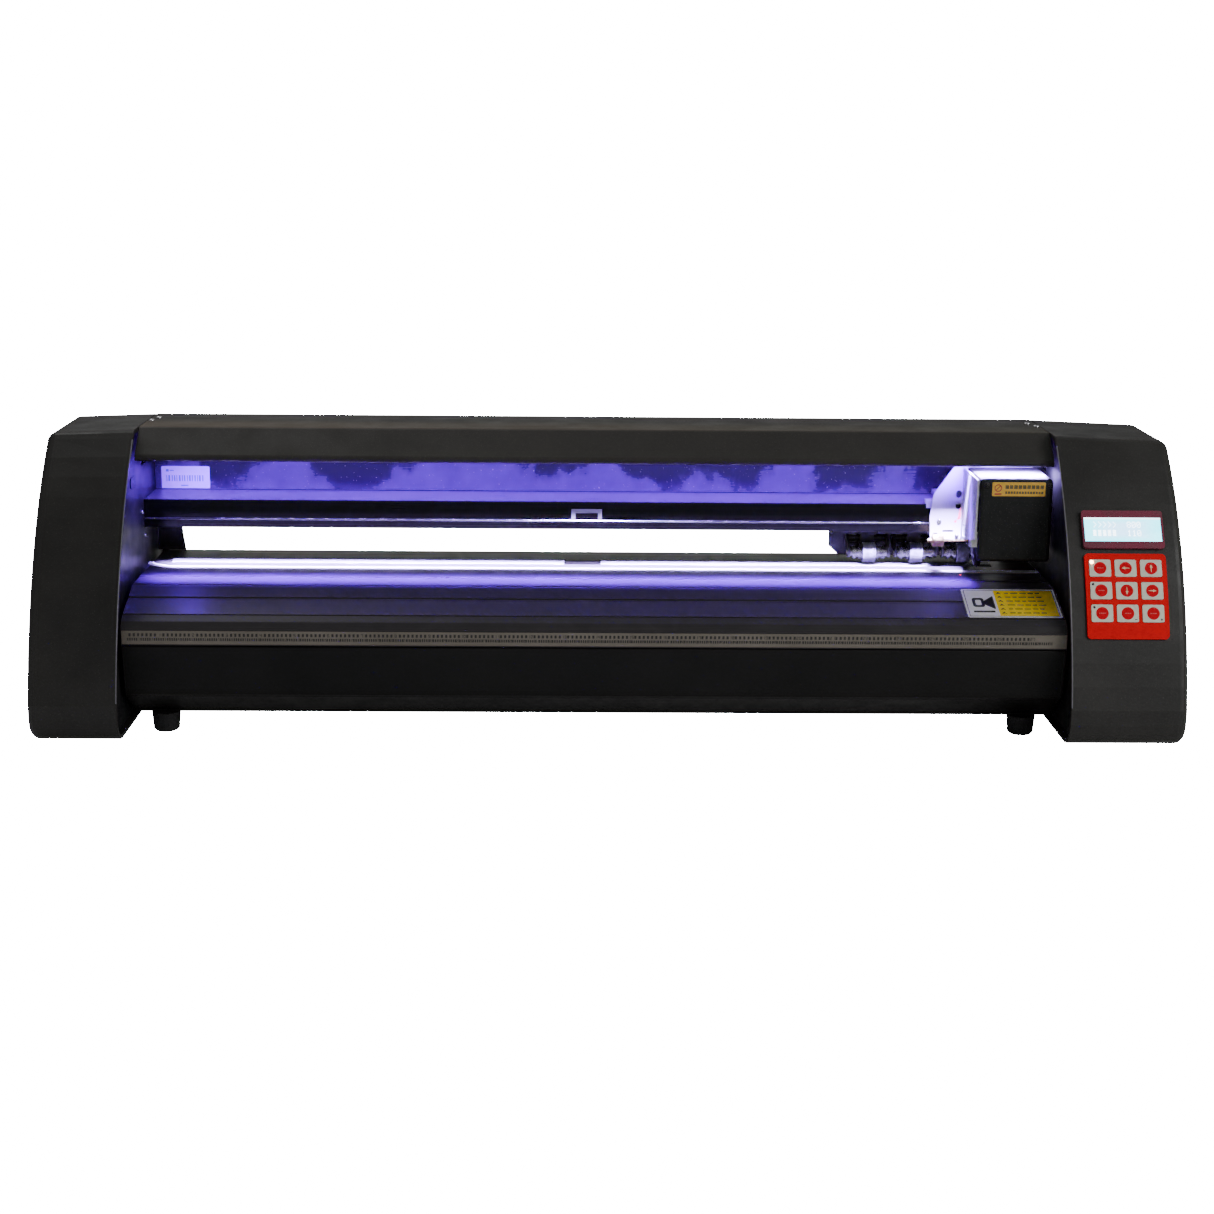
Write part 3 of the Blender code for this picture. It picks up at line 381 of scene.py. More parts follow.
casing_black = powder_coat("casing_powder_coat", (0.021, 0.020, 0.018), 0.5)
beam_black = dusty_coat("beam_powder_coat", (0.033, 0.031, 0.028))
cover_black = powder_coat("cover_powder_coat", (0.0065, 0.006, 0.0055), 0.45, grain=0.7,
                          depth=0.03, shine=0.22)
frame_black = powder_coat("frame_powder_coat", (0.016, 0.016, 0.017), 0.35, grain=0.6, depth=0.02)
hood_black = moulded("carriage_hood_plastic", (0.0075, 0.0075, 0.008), 0.46, shine=0.3)
part_black = moulded("black_moulding", (0.014, 0.014, 0.016), 0.35)
holder_black = drawn_metal("black_anodised_holder", (0.03, 0.03, 0.033), 0.32, 0.6, (1.0, 1.0, 0.05), 0.3)
rail_black = rail_metal("rail_anodised")
platen_black = drawn_metal("platen_anodised", (0.034, 0.032, 0.034), 0.36, 0.1, smudge=0.18,
                           depth=0.015, shine=0.3)
wall_cloudy = cloudy_wall("back_wall_anodised")
strip_white = printed("cutting_strip_white", (0.92, 0.92, 0.94), 0.45, 0.05)
scale_metal = printed_strip("scale_strip_metal")
foot_rubber = rubber("foot_rubber", (0.012, 0.012, 0.013))
belt_rubber = rubber("belt_rubber", (0.014, 0.014, 0.015), 0.6)
tread_rubber = rubber("pinch_tread_rubber", (0.17, 0.17, 0.2), 0.6)
motor_black = drawn_metal("motor_enamel", (0.03, 0.03, 0.032), 0.45, 0.3, (1.0, 1.0, 0.1), 1.0)
board_green = circuit_board("circuit_board_mask")
supply_steel = drawn_metal("folded_steel", (0.5, 0.5, 0.5), 0.35, 0.9, (0.3, 1.0, 1.0), 1.5)
bare_steel = drawn_metal("bright_steel", (0.62, 0.62, 0.64), 0.22, 1.0, (1.0, 0.2, 1.0), 0.4)
aluminium = drawn_metal("turned_aluminium", (0.72, 0.72, 0.74), 0.28, 1.0, (1.0, 1.0, 0.2), 0.4)
brass = drawn_metal("turned_brass", (0.5, 0.46, 0.17), 0.34, 0.7, (0.2, 1.0, 1.0), 0.4)
carriage_paint = powder_coat("carriage_pale_paint", (0.5, 0.5, 0.54), 0.42, grain=0.5, depth=0.012,
                             spread=0.1)
roller_grit = gritted("roller_grit")
lamp_bar = lamp_strip("light_bar_diffuser", VIOLET, 3.0)
keypad_red = printed("keypad_membrane_red", (0.8, 0.0, 0.006), 0.5, 0.1, shine=0.08)
key_grey = printed("key_print_grey", (0.74, 0.76, 0.62), 0.45, 0.08)
key_red = printed("key_print_red", (0.7, 0.0, 0.012), 0.5, 0.12, shine=0.08)
key_white = printed("key_glyph_cream", (0.9, 0.62, 0.36), 0.45, 0.1)
key_faint = printed("key_glyph_faint", (0.8, 0.09, 0.09), 0.5, 0.1)
ink_black = printed("ink_black", (0.012, 0.012, 0.012), 0.4, 0.2)
ink_grey = printed("ink_grey", (0.24, 0.24, 0.27), 0.4, 0.1)
label_white = printed("label_white", (0.72, 0.72, 0.74), 0.35, 0.05)
label_yellow = printed("label_yellow", (0.85, 0.62, 0.02), 0.4, 0.1, shine=0.2)
sticker_amber = printed("sticker_amber", (0.8, 0.47, 0.08), 0.4, 0.1, shine=0.2)
label_red = printed("label_red", (0.42, 0.05, 0.03), 0.35, 0.1)
scale_ink = printed("scale_ink", (0.02, 0.018, 0.015), 0.5, 0.3)
bezel_maroon = moulded("display_bezel_maroon", (0.2, 0.03, 0.06), 0.28, grain=0.4, depth=0.006)
red_lamp = glowing("red_indicator_lit", (1.0, 0.32, 0.12), 40.0)
laser_red = glowing("laser_red", (1.0, 0.03, 0.08), 4.0)
dark_lamp = moulded("dark_indicator", (0.01, 0.01, 0.011), 0.2)
lamp_chip = glowing("lamp_chip", (0.42, 0.22, 1.0), 30.0, (0.8, 0.8, 0.6))
# Pale grey of the casing lips: a painted highlight along the casings' inner front edges.
lip_painted_highlight = drawn_metal("casing_lip", (0.16, 0.16, 0.18), 0.3, 0.2, (1.0, 0.1, 0.1), 0.5)
guide_steel = drawn_metal("polished_guide", (0.55, 0.55, 0.57), 0.1, 1.0, smudge=0.05, depth=0.002)
socket_pin = drawn_metal("plated_pin", (0.7, 0.66, 0.55), 0.25, 1.0, (1.0, 0.2, 1.0), 0.3)

PINCH_UNITS = (1, 2, 3)
NODE_FINISHES = (
    (casing_black, "left_end_casing right_end_casing"),
    (frame_black, "left_side_frame right_side_frame"),
    (beam_black, "top_beam_cover"),
    (cover_black, "front_lower_cover rear_lower_cover base_plate roller_center_support"),
    (wall_cloudy, "back_panel"),
    (rail_black, "carriage_rail"),
    (platen_black, "platen"),
    (strip_white, "cutting_strip"),
    (scale_metal, "ruler_strip"),
    (lamp_bar, "led_light_bar"),
    (motor_black, "carriage_motor feed_motor"),
    (board_green, "main_board"),
    (supply_steel, "power_supply"),
    (bare_steel, "data_port"),
    (part_black, "power_inlet switch_housing power_rocker display_module"),
    (belt_rubber, "carriage_belt feed_belt"),
    (roller_grit, "feed_roller"),
    (aluminium, "feed_motor_pulley belt_drive_pulley belt_idler_pulley tool_slide"),
    (carriage_paint, "carriage_plate carriage_slider"),
    (hood_black, "carriage_cover"),
    (holder_black, "blade_holder"),
    (foot_rubber, "front_left_foot front_right_foot rear_left_foot rear_right_foot"),
    (part_black, " ".join(f"pinch_carrier_{number} pinch_arm_{number}" for number in PINCH_UNITS)),
)


def finish_nodes():
    for finish, names in NODE_FINISHES:
        for name in names.split():
            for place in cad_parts[name].material_slots:
                place.material = finish


# ---- Mesh building, in mm ----

def mesh_of(name, bm):
    """Mesh in metres from one built in mm."""
    bmesh.ops.scale(bm, vec=Vector((MM, MM, MM)), verts=bm.verts)
    bmesh.ops.recalc_face_normals(bm, faces=bm.faces)
    mesh = bpy.data.meshes.new(name)
    bm.to_mesh(mesh)
    bm.free()
    return mesh


def dress(mesh, finishes, angle=35.0):
    """Give a mesh its materials, and smooth it except at edges sharper than angle."""
    for finish in finishes:
        mesh.materials.append(finish)
    mesh.shade_smooth()
    mesh.set_sharp_from_angle(angle=math.radians(angle))


def piece(name, bm, finishes, body, place=MACHINE, angle=35.0):
    """Turn a mesh in mm into an object that rides on a CAD body."""
    mesh = mesh_of(name, bm)
    dress(mesh, finishes, angle)
    return put(name, mesh, body, place)


def put(name, mesh, body, place=MACHINE):
    obj = bpy.data.objects.new(name, mesh)
    bpy.context.scene.collection.objects.link(obj)
    obj.matrix_world = place
    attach(obj, body)
    return obj


def add_box(bm, low, high, finish=0, bevel=0.0, turn=None):
    """Box between two corners, with its edges rounded if bevel is given."""
    low, high = Vector(low), Vector(high)
    made = bmesh.ops.create_cube(bm, size=1.0)["verts"]
    bmesh.ops.scale(bm, vec=high - low, verts=made)
    bmesh.ops.translate(bm, vec=(low + high) / 2, verts=made)
    if turn is not None:
        bmesh.ops.transform(bm, matrix=turn, verts=made)
    faces = {face for vert in made for face in vert.link_faces}
    for face in faces:
        face.material_index = finish
    if bevel:
        edges = list({edge for face in faces for edge in face.edges})
        rounded = bmesh.ops.bevel(bm, geom=edges, offset=bevel, segments=2, profile=0.5,
                                  affect="EDGES", clamp_overlap=True)
        for face in rounded["faces"]:
            face.material_index = finish


def add_prism(bm, loops, low, high, finish=0, turn=Matrix.Identity(4)):
    """Flat outline with holes, in the local plane, extruded from low to high."""
    flat = [Vector((u, v, 0.0)) for loop in loops for u, v in loop]
    faces = tessellate_polygon([[Vector((u, v, 0.0)) for u, v in loop] for loop in loops])
    bottom = [bm.verts.new(turn @ (p + Vector((0, 0, low)))) for p in flat]
    top = [bm.verts.new(turn @ (p + Vector((0, 0, high)))) for p in flat]
    made = []
    for a, b, c in faces:
        made.append(bm.faces.new((top[a], top[b], top[c])))
        made.append(bm.faces.new((bottom[c], bottom[b], bottom[a])))
    start = 0
    for loop in loops:
        count = len(loop)
        for i in range(count):
            a, b = start + i, start + (i + 1) % count
            made.append(bm.faces.new((bottom[a], bottom[b], top[b], top[a])))
        start += count
    for face in made:
        face.material_index = finish


def skin_rings(bm, rings, finishes=None):
    """Join rings of points into a closed tube; finishes gives each band's material."""
    for k, (ring, following) in enumerate(zip(rings, rings[1:])):
        for i in range(len(ring)):
            j = (i + 1) % len(ring)
            face = bm.faces.new((ring[i], ring[j], following[j], following[i]))
            face.material_index = finishes[k] if finishes else 0
    for index in (0, -1):
        face = bm.faces.new(rings[index])
        face.material_index = finishes[index] if finishes else 0


def around(steps):
    return [2 * math.pi * i / steps for i in range(steps)]


def add_turned(bm, profile, steps, turn=Matrix.Identity(4), finishes=None, ripple=0.0):
    """Solid of revolution about local z, through (radius, height) points; ripple knurls its wide parts."""
    rings = []
    for radius, height in profile:
        ridge = ripple if radius > ripple * 4 else 0.0
        rings.append([bm.verts.new(turn @ Vector(((radius + ridge * (i % 2)) * math.cos(angle),
                                                  (radius + ridge * (i % 2)) * math.sin(angle), height)))
                      for i, angle in enumerate(around(steps))])
    skin_rings(bm, rings, finishes)


def add_bars(bm, left, low, high, widths, gaps, base, top, finish):
    """Row of upright bars, with gaps between them taken in turn."""
    for k, width in enumerate(widths):
        add_box(bm, (left, low, base), (left + width, high, top), finish)
        left += width + gaps[k % len(gaps)]


def round_rim(bm, level, offset, segments):
    """Round the sharp edges that lie above a level."""
    rim = [edge for edge in bm.edges if all(vert.co.z > level for vert in edge.verts)
           and len(edge.link_faces) == 2 and edge.calc_face_angle(0) > 0.5]
    bmesh.ops.bevel(bm, geom=rim, offset=offset, segments=segments, profile=0.5, affect="EDGES")


def rounded_rectangle(width, height, radius, middle=(0.0, 0.0), steps=5):
    points = []
    for corner, (sx, sy) in enumerate(((1, 1), (-1, 1), (-1, -1), (1, -1))):
        for i in range(steps + 1):
            angle = math.pi / 2 * (corner + i / steps)
            points.append((middle[0] + sx * (width / 2 - radius) + radius * math.cos(angle),
                           middle[1] + sy * (height / 2 - radius) + radius * math.sin(angle)))
    return points


def circle(radius, middle=(0.0, 0.0), steps=32):
    return [(middle[0] + radius * math.cos(angle), middle[1] + radius * math.sin(angle))
            for angle in around(steps)]


def facing(x, back, up, direction):
    """Local frame at a machine point whose z axis points in a direction, with local y upwards."""
    z = Vector(direction).normalized()
    y = Vector((0, 0, 1)) if abs(z.z) < 0.9 else Vector((0, 1, 0))
    y = (y - z * y.dot(z)).normalized()
    turn = Matrix((y.cross(z), y, z)).transposed().to_4x4()
    return MACHINE @ Matrix.Translation(Vector((x, back, up)) * MM) @ turn


# ---- Screws ----

SCREW_MESHES = {}
BEAM_TOP_FRONT, BEAM_TOP_FALL = (118.0, 221.9), -0.4 / 78.0   # (back, up) and slope of the beam's top


def screw_mesh(radius, finish):
    """Pan-head screw with a cross recess, standing on local z = 0."""
    key = (radius, finish.name)
    if key in SCREW_MESHES:
        return SCREW_MESHES[key]
    head = bmesh.new()
    height = radius * 0.62
    add_turned(head, [(radius * 0.93, 0.0), (radius, height * 0.2), (radius * 0.97, height * 0.5),
                      (radius * 0.82, height * 0.8), (radius * 0.5, height * 0.97),
                      (radius * 0.2, height)], 28)
    arms = bmesh.new()
    reach, width, floor = radius * 0.62, radius * 0.15, height * 0.3
    add_prism(arms, [[(width, width), (width, reach), (-width, reach), (-width, width),
                      (-reach, width), (-reach, -width), (-width, -width), (-width, -reach),
                      (width, -reach), (width, -width), (reach, -width), (reach, width)]],
              floor, height * 1.5)
    solid = bpy.data.objects.new("screw_solid", mesh_of("screw_solid", head))
    recess = bpy.data.objects.new("screw_recess", mesh_of("screw_recess", arms))
    for obj in (solid, recess):
        bpy.context.scene.collection.objects.link(obj)
    cross = solid.modifiers.new("cross", "BOOLEAN")
    cross.operation = "DIFFERENCE"
    cross.object = recess
    bpy.context.view_layer.update()
    graph = bpy.context.evaluated_depsgraph_get()
    mesh = bpy.data.meshes.new_from_object(solid.evaluated_get(graph))
    mesh.name = f"screw_{finish.name}_{len(SCREW_MESHES)}"
    mesh.materials.clear()
    dress(mesh, [finish])
    for obj in (solid, recess):
        bpy.data.objects.remove(obj, do_unlink=True)
    SCREW_MESHES[key] = mesh
    return mesh


def screw(name, x, back, up, direction, radius, finish, body="root"):
    return put(name, screw_mesh(radius, finish), body, facing(x, back, up, direction))


def screws():
    front, above, below, behind = (0, -1, 0), (0, 0, 1), (0, 0, -1), (0, 1, 0)
    for name, x, back in (("left_rear", INNER_LEFT + 6.6, 165), ("left_front", INNER_LEFT + 3.6, 150),
                          ("right_rear", INNER_RIGHT - 7.7, 165), ("right_front", INNER_RIGHT - 3.4, 150)):
        up = BEAM_TOP_FRONT[1] + (back - BEAM_TOP_FRONT[0]) * BEAM_TOP_FALL
        screw(f"beam_screw_{name}", x, back, up, above, 2.4, bare_steel)
    cover_low, cover_high = span("carriage_cover")
    for name, x, up in (("left", cover_low.x + 4.9, cover_high.z - 4.6),
                        ("right", cover_high.x - 3.0, cover_high.z - 4.9)):
        screw(f"cover_screw_{name}", x, cover_low.y, up, front, 2.2, holder_black, "carriage")
    screw("plate_screw", 267.0, CARRIAGE_FACE, 146.0, front, 2.1, bare_steel, "carriage")
    screw("plate_lower_screw", 281.6, CARRIAGE_FACE, 134.4, front, 1.7, bare_steel, "carriage")
    for number, (back, up, size) in enumerate(((134.5, 150.3, 1.9), (156.4, 137.8, 1.2),
                                               (142.3, 129.9, 1.6), (108.3, 176.1, 1.5)), 1):
        screw(f"frame_screw_{number}", FRAME_FACE, back, up, (1, 0, 0), size, bare_steel)
    panel_low, panel_high = span("back_panel")
    base_low, base_high = span("base_plate")
    beam_rear = span("top_beam_cover")[1].y
    for number in range(1, 6):
        x = INNER_LEFT + (INNER_RIGHT - INNER_LEFT) * ((number - 0.5) / 5)
        for name, back, up, direction in (("back_panel_screw", panel_high.y, panel_low.z + 8.0, behind),
                                          ("beam_rear_screw", beam_rear, 200.0, behind),
                                          ("base_screw", base_high.y - 6.0, base_low.z, below)):
            screw(f"{name}_{number}", x, back, up, direction, 2.4, bare_steel)


# ---- Control panel on the front curve ----

CURVE_LOW, CURVE_MID, CURVE_HIGH = (-9.0, 30.0), (25.0, 126.0), (93.0, 217.0)
PANEL_LEFT, PANEL_RIGHT = (span("keypad_panel")[i].x for i in (0, 1))
PANEL_MIDDLE = (PANEL_LEFT + PANEL_RIGHT) / 2
KEYPAD_SPAN = (54.2, 120.2)
PAD_LOW, PAD_HIGH = 0.35, 1.9
KEY_PLACES = (108.6, 91.1, 73.7)
KEY_XS = tuple(sum(corner.x for corner in span(f"key_1_{column}")) / 2 for column in (1, 2, 3))
KEY_SIZE = (16.4, 13.4)
KEY_TOP = 2.3
DISPLAY_PLACE = 139.5
DISPLAY_SIZE = (62.2, 31.0)
WINDOW_SIZE = (60.0, 20.8)


def circle_through(a, b, c):
    (ax, ay), (bx, by), (cx, cy) = a, b, c
    d = 2 * (ax * (by - cy) + bx * (cy - ay) + cx * (ay - by))
    aa, bb, cc = ax * ax + ay * ay, bx * bx + by * by, cx * cx + cy * cy
    x = (aa * (by - cy) + bb * (cy - ay) + cc * (ay - by)) / d
    y = (aa * (cx - bx) + bb * (ax - cx) + cc * (bx - ax)) / d
    return (x, y), math.hypot(ax - x, ay - y)


CURVE_CENTRE, CURVE_RADIUS = circle_through(CURVE_LOW, CURVE_MID, CURVE_HIGH)
CURVE_START = math.atan2(CURVE_LOW[1] - CURVE_CENTRE[1], CURVE_LOW[0] - CURVE_CENTRE[0])


def on_curve(along, height=0.0):
    """(back, up) of a point standing off the front curve, and the tilt of the curve there."""
    angle = CURVE_START - along / CURVE_RADIUS
    reach = CURVE_RADIUS + height
    return (CURVE_CENTRE[0] + reach * math.cos(angle), CURVE_CENTRE[1] + reach * math.sin(angle),
            angle - math.pi / 2)


def panel_frame(x, along, height=0.0):
    """Local frame on the panel: x across, y up along the curve, z outwards."""
    back, up, tilt = on_curve(along, height)
    turn = Matrix.Rotation(tilt, 4, "X")
    return MACHINE @ Matrix.Translation(Vector((x, back, up)) * MM) @ turn


def bend_to_curve(bm):
    """Wrap a flat mesh, (x, along, height) in mm, onto the front curve in machine coordinates."""
    foot = min(vert.co.y for vert in bm.verts)
    length = max(vert.co.y for vert in bm.verts) - foot
    cuts = max(1, int(length / 3.0))
    for i in range(1, cuts):
        level = foot + length * i / cuts
        bmesh.ops.bisect_plane(bm, geom=bm.verts[:] + bm.edges[:] + bm.faces[:], dist=1e-5,
                               plane_co=(0, level, 0), plane_no=(0, 1, 0))
    for vert in bm.verts:
        vert.co = Vector((vert.co.x, *on_curve(vert.co.y, vert.co.z)[:2]))


def keypad_membrane():
    low, high = KEYPAD_SPAN
    outline = rounded_rectangle(PANEL_RIGHT - PANEL_LEFT, high - low, 3.2, (PANEL_MIDDLE, (low + high) / 2))
    holes = [rounded_rectangle(KEY_SIZE[0] + 0.5, KEY_SIZE[1] + 0.5, 1.5, (x, along))
             for along in KEY_PLACES for x in KEY_XS]
    bm = bmesh.new()
    add_prism(bm, [outline, *holes], PAD_LOW, PAD_HIGH)
    bend_to_curve(bm)
    pad = piece("keypad_membrane", bm, [keypad_red], "root", angle=25)
    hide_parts("keypad_panel")


ARROW = [(-3.2, 0.0), (-0.4, 1.15), (-0.4, 0.42), (3.0, 0.24), (3.0, -0.24), (-0.4, -0.42), (-0.4, -1.15)]
ARROW_TURNS = {(1, 2): 0.0, (1, 3): -math.pi / 2, (2, 2): math.pi / 2, (2, 3): math.pi}
SIGNED_KEYS = ((3, 2), (3, 3))   # keys with a minus and a plus in the corner


def key_glyph(bm, row, column):
    """Mark in a key's red disc: a pale thin arrow, or a faint row of plain bars."""
    low, high = 0.24, 0.34
    if (row, column) in ARROW_TURNS:
        turn = Matrix.Rotation(ARROW_TURNS[row, column], 4, "Z")
        add_prism(bm, [ARROW], low, high, 2, turn)
        return
    widths = ((1.5, 0.8, 1.9), (0.9, 1.6, 1.2, 0.7), (1.9, 1.3, 0.9))[(row + column) % 3]
    left = -(sum(widths) + 0.3 * (len(widths) - 1)) / 2
    add_bars(bm, left, -0.4, 0.4, widths, (0.3,), low, high, 4)


def keys():
    for row, along in enumerate(KEY_PLACES, 1):
        for column, x in enumerate(KEY_XS, 1):
            bm = bmesh.new()
            add_prism(bm, [rounded_rectangle(*KEY_SIZE, 1.3)], -1.25, 0.0)
            round_rim(bm, -0.01, 0.3, 2)
            add_prism(bm, [circle(4.75)], 0.0, 0.2, 1)
            key_glyph(bm, row, column)
            if (row, column) in SIGNED_KEYS:
                add_box(bm, (5.2, -4.9, 0.0), (7.0, -4.5, 0.2), 3)
            if (row, column) == SIGNED_KEYS[-1]:
                add_box(bm, (5.9, -5.6, 0.0), (6.3, -3.8, 0.2), 3)
            key = piece(f"key_cap_{row}_{column}", bm, [key_grey, key_red, key_white, ink_black, key_faint],
                        f"key_{row}_{column}", panel_frame(x, along, KEY_TOP), 30)
            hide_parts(f"key_{row}_{column}")


def indicators():
    """Three lamps at the keys' left edges; only the top one is lit."""
    for number, x, along, finish, radius, dome in ((1, 364.8, 113.3, red_lamp, 1.5, 0.55),
                                                   (2, 364.9, 95.9, dark_lamp, 1.0, 0.2),
                                                   (3, 365.2, 78.2, dark_lamp, 1.0, 0.2)):
        bm = bmesh.new()
        add_turned(bm, [(radius, 0.0), (radius * 0.92, dome * 0.5), (radius * 0.6, dome * 0.9),
                        (radius * 0.2, dome)], 20)
        piece(f"indicator_lamp_{number}", bm, [finish], f"key_{number}_1",
              panel_frame(x, along, KEY_TOP + 0.01), 60)


DOTS = {
    "0": ("01110", "10001", "10011", "10101", "11001", "10001", "01110"),
    "1": ("00100", "01100", "00100", "00100", "00100", "00100", "01110"),
    "8": ("01110", "10001", "10001", "01110", "10001", "10001", "01110"),
    ">": ("01000", "00100", "00010", "00001", "00010", "00100", "01000"),
    "|": ("11110", "11110", "11110", "11110", "11110", "11110", "11110"),
}
DISPLAY_LINES = (">>>>>  800", "|||||  110")


def display():
    bm = bmesh.new()
    middle = (PANEL_MIDDLE, DISPLAY_PLACE)
    outline = rounded_rectangle(*DISPLAY_SIZE, 2.4)
    window = rounded_rectangle(WINDOW_SIZE[0] - 0.6, WINDOW_SIZE[1] - 0.6, 0.8)
    add_prism(bm, [outline, window], 0.4, 2.9)
    round_rim(bm, 2.89, 0.7, 3)
    bezel = piece("display_bezel", bm, [bezel_maroon], "root",
                  panel_frame(*middle), 30)
    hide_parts("display_frame")

    half_width, half_height = WINDOW_SIZE[0] / 2 - 0.7, WINDOW_SIZE[1] / 2 - 0.7
    pane = display_glass("display_glass_lit", half_width, half_height)
    bm = bmesh.new()
    add_box(bm, (-half_width, -half_height, 2.32), (half_width, half_height, 2.52), 0, 0.05)
    piece("display_glass", bm, [pane], "root", panel_frame(*middle))

    bm = bmesh.new()
    dot, cell_x, cell_y = 0.62, 3.75, 6.9
    for row, line in enumerate(DISPLAY_LINES):
        for column, character in enumerate(line):
            left = -half_width + 6.4 + column * cell_x
            top = 6.4 - row * cell_y
            for v, bits in enumerate(DOTS.get(character, ())):
                for u, bit in enumerate(bits):
                    if bit == "1":
                        x, y = left + u * dot, top - v * dot * 1.15
                        add_box(bm, (x, y - dot * 1.02, 2.53), (x + dot * 0.9, y, 2.6))
    lit = glowing("display_dots_lit", (0.85, 0.95, 1.0), 6.5)
    piece("display_characters", bm, [lit], "root", panel_frame(*middle))


# ---- Labels and printed marks ----

def cover_sticker():
    low = span("carriage_cover")[0]
    width, height = 41.5, 11.0
    bm = bmesh.new()
    add_prism(bm, [rounded_rectangle(width, height, 0.8)], 0.0, 0.14)
    left = -width / 2
    ring = (left + 4.6, 0.9)
    add_prism(bm, [circle(2.9, ring), circle(2.2, ring)], 0.15, 0.2, 1)
    slash = Matrix.Translation((*ring, 0)) @ Matrix.Rotation(math.radians(45), 4, "Z")
    add_box(bm, (-2.3, -0.3, 0.15), (2.3, 0.3, 0.19), 1, turn=slash)
    add_box(bm, (left + 1.9, -4.4, 0.15), (left + 7.3, -3.2, 0.2), 1)
    add_bars(bm, left + 10.2, 0.3, 3.2, [2.7] * 9, (0.7,), 0.15, 0.2, 2)
    add_bars(bm, left + 10.2, -3.6, -1.7, [1.6] * 14, (0.56,), 0.15, 0.2, 2)
    faded = printed("sticker_bar_ink", (0.13, 0.1, 0.03), 0.4, 0.3)
    place = facing(317.2, low.y - 0.01, 183.5, (0, -1, 0))
    piece("cover_sticker", bm, [sticker_amber, label_red, faded], "carriage", place)


SLOPE_TOP, SLOPE_FOOT = (66.4, 106.05), (27.6, 92.95)   # (back, up) of the label's edges


def platen_label():
    """Two-colour plate on the platen's slope, with a plain pictogram and rows of marks."""
    (top_back, top_up), (foot_back, foot_up) = SLOPE_TOP, SLOPE_FOOT
    width, height = 72.6, Vector((foot_back - top_back, foot_up - top_up)).length
    normal = Vector((0.0, foot_up - top_up, top_back - foot_back)).normalized()
    place = facing(309.4, (top_back + foot_back) / 2, (top_up + foot_up) / 2, normal)
    bm = bmesh.new()
    add_prism(bm, [rounded_rectangle(width, height, 1.6)], 0.28, 0.45)
    inner_w, inner_h = width - 3.2, height - 3.2
    add_prism(bm, [rounded_rectangle(inner_w, inner_h, 1.0),
                   rounded_rectangle(inner_w - 0.9, inner_h - 0.9, 0.8)], 0.46, 0.5, 2)
    split = -width / 2 + 25.0
    add_box(bm, (split, -inner_h / 2 + 0.7, 0.46), (inner_w / 2 - 0.7, inner_h / 2 - 0.7, 0.49), 1)
    # Pictogram: a ring with a wedge coming to it
    centre = (-width / 2 + 11.0, 1.0)
    add_prism(bm, [rounded_rectangle(9.0, 13.0, 2.4, centre), rounded_rectangle(4.6, 8.0, 1.4, centre)],
              0.46, 0.52, 2)
    add_prism(bm, [[(centre[0] + 3.0, 1.8), (centre[0] + 12.2, 10.4), (centre[0] + 12.2, -8.8),
                    (centre[0] + 3.0, -0.6)]], 0.46, 0.52, 2)
    add_box(bm, (centre[0] - 5.5, -13.2, 0.46), (centre[0] + 11.0, -11.0, 0.52), 2)
    for row in range(6):
        y = inner_h / 2 - 4.2 - row * 5.7
        add_prism(bm, [[(split + 1.6, y - 1.6), (split + 3.6, y + 1.4), (split + 5.8, y - 1.6),
                        (split + 3.7, y - 0.4)]], 0.5, 0.54, 2)
        x = split + 8.2
        for k in range(5):
            long = 3.2 + 2.6 * ((row * 5 + k * 3) % 4) / 3
            if x + long < inner_w / 2 - 2.0:
                add_box(bm, (x, y - 0.7, 0.5), (x + long, y + 0.5, 0.53), 3)
            x += long + 1.5
    faint = printed("label_line_ink", (0.16, 0.12, 0.02), 0.4, 0.3)
    piece("platen_label", bm, [label_white, label_yellow, ink_black, faint], "root",
          place)


def wall_label():
    """White plate at the left of the back wall with plain upright bars."""
    wall = span("back_panel")[0].y
    width, height = 39.6, 19.8
    bm = bmesh.new()
    add_prism(bm, [rounded_rectangle(width, height, 1.0)], 0.02, 0.16)
    widths = ((0.7, 1.4, 0.9, 1.1) * 4)[:15]
    add_bars(bm, -width / 2 + 4.0, -2.6, 2.4, widths, (0.9, 1.3, 1.0), 0.17, 0.2, 1)
    add_box(bm, (-width / 2 + 3.8, 5.4, 0.17), (-width / 2 + 6.0, 7.4, 0.2), 1)
    add_box(bm, (-width / 2 + 6.8, 5.9, 0.17), (-width / 2 + 10.4, 6.7, 0.2), 1)
    add_box(bm, (-4.0, -6.6, 0.17), (2.0, -5.6, 0.2), 1)
    ink = printed("wall_label_ink", (0.14, 0.12, 0.3), 0.4, 0.2)
    piece("wall_label", bm, [label_white, ink], "root",
          facing(-348.2, wall, 167.8, (0, -1, 0)))


def centre_mark():
    """Bracket printed on the front face of the rail over the middle support."""
    width, height, line = 24.6, 9.2, 3.2
    bm = bmesh.new()
    outer = [(-width / 2, -height / 2), (-width / 2 + line, -height / 2),
             (-width / 2 + line, height / 2 - line), (width / 2 - line, height / 2 - line),
             (width / 2 - line, -height / 2), (width / 2, -height / 2), (width / 2, height / 2),
             (-width / 2, height / 2)]
    add_prism(bm, [outer], 0.0, 0.12)
    front = span("carriage_rail")[0].y + 1.2
    piece("centre_mark", bm, [ink_grey], "root",
          facing(-17.6, front - 0.01, 148.9, (0, -1, 0)))


SEGMENTS = {"0": "abcdef", "1": "bc", "2": "abged", "3": "abgcd", "4": "fgbc", "5": "afgcd",
            "6": "afgedc", "7": "abc", "8": "abcdefg", "9": "gfabcd"}


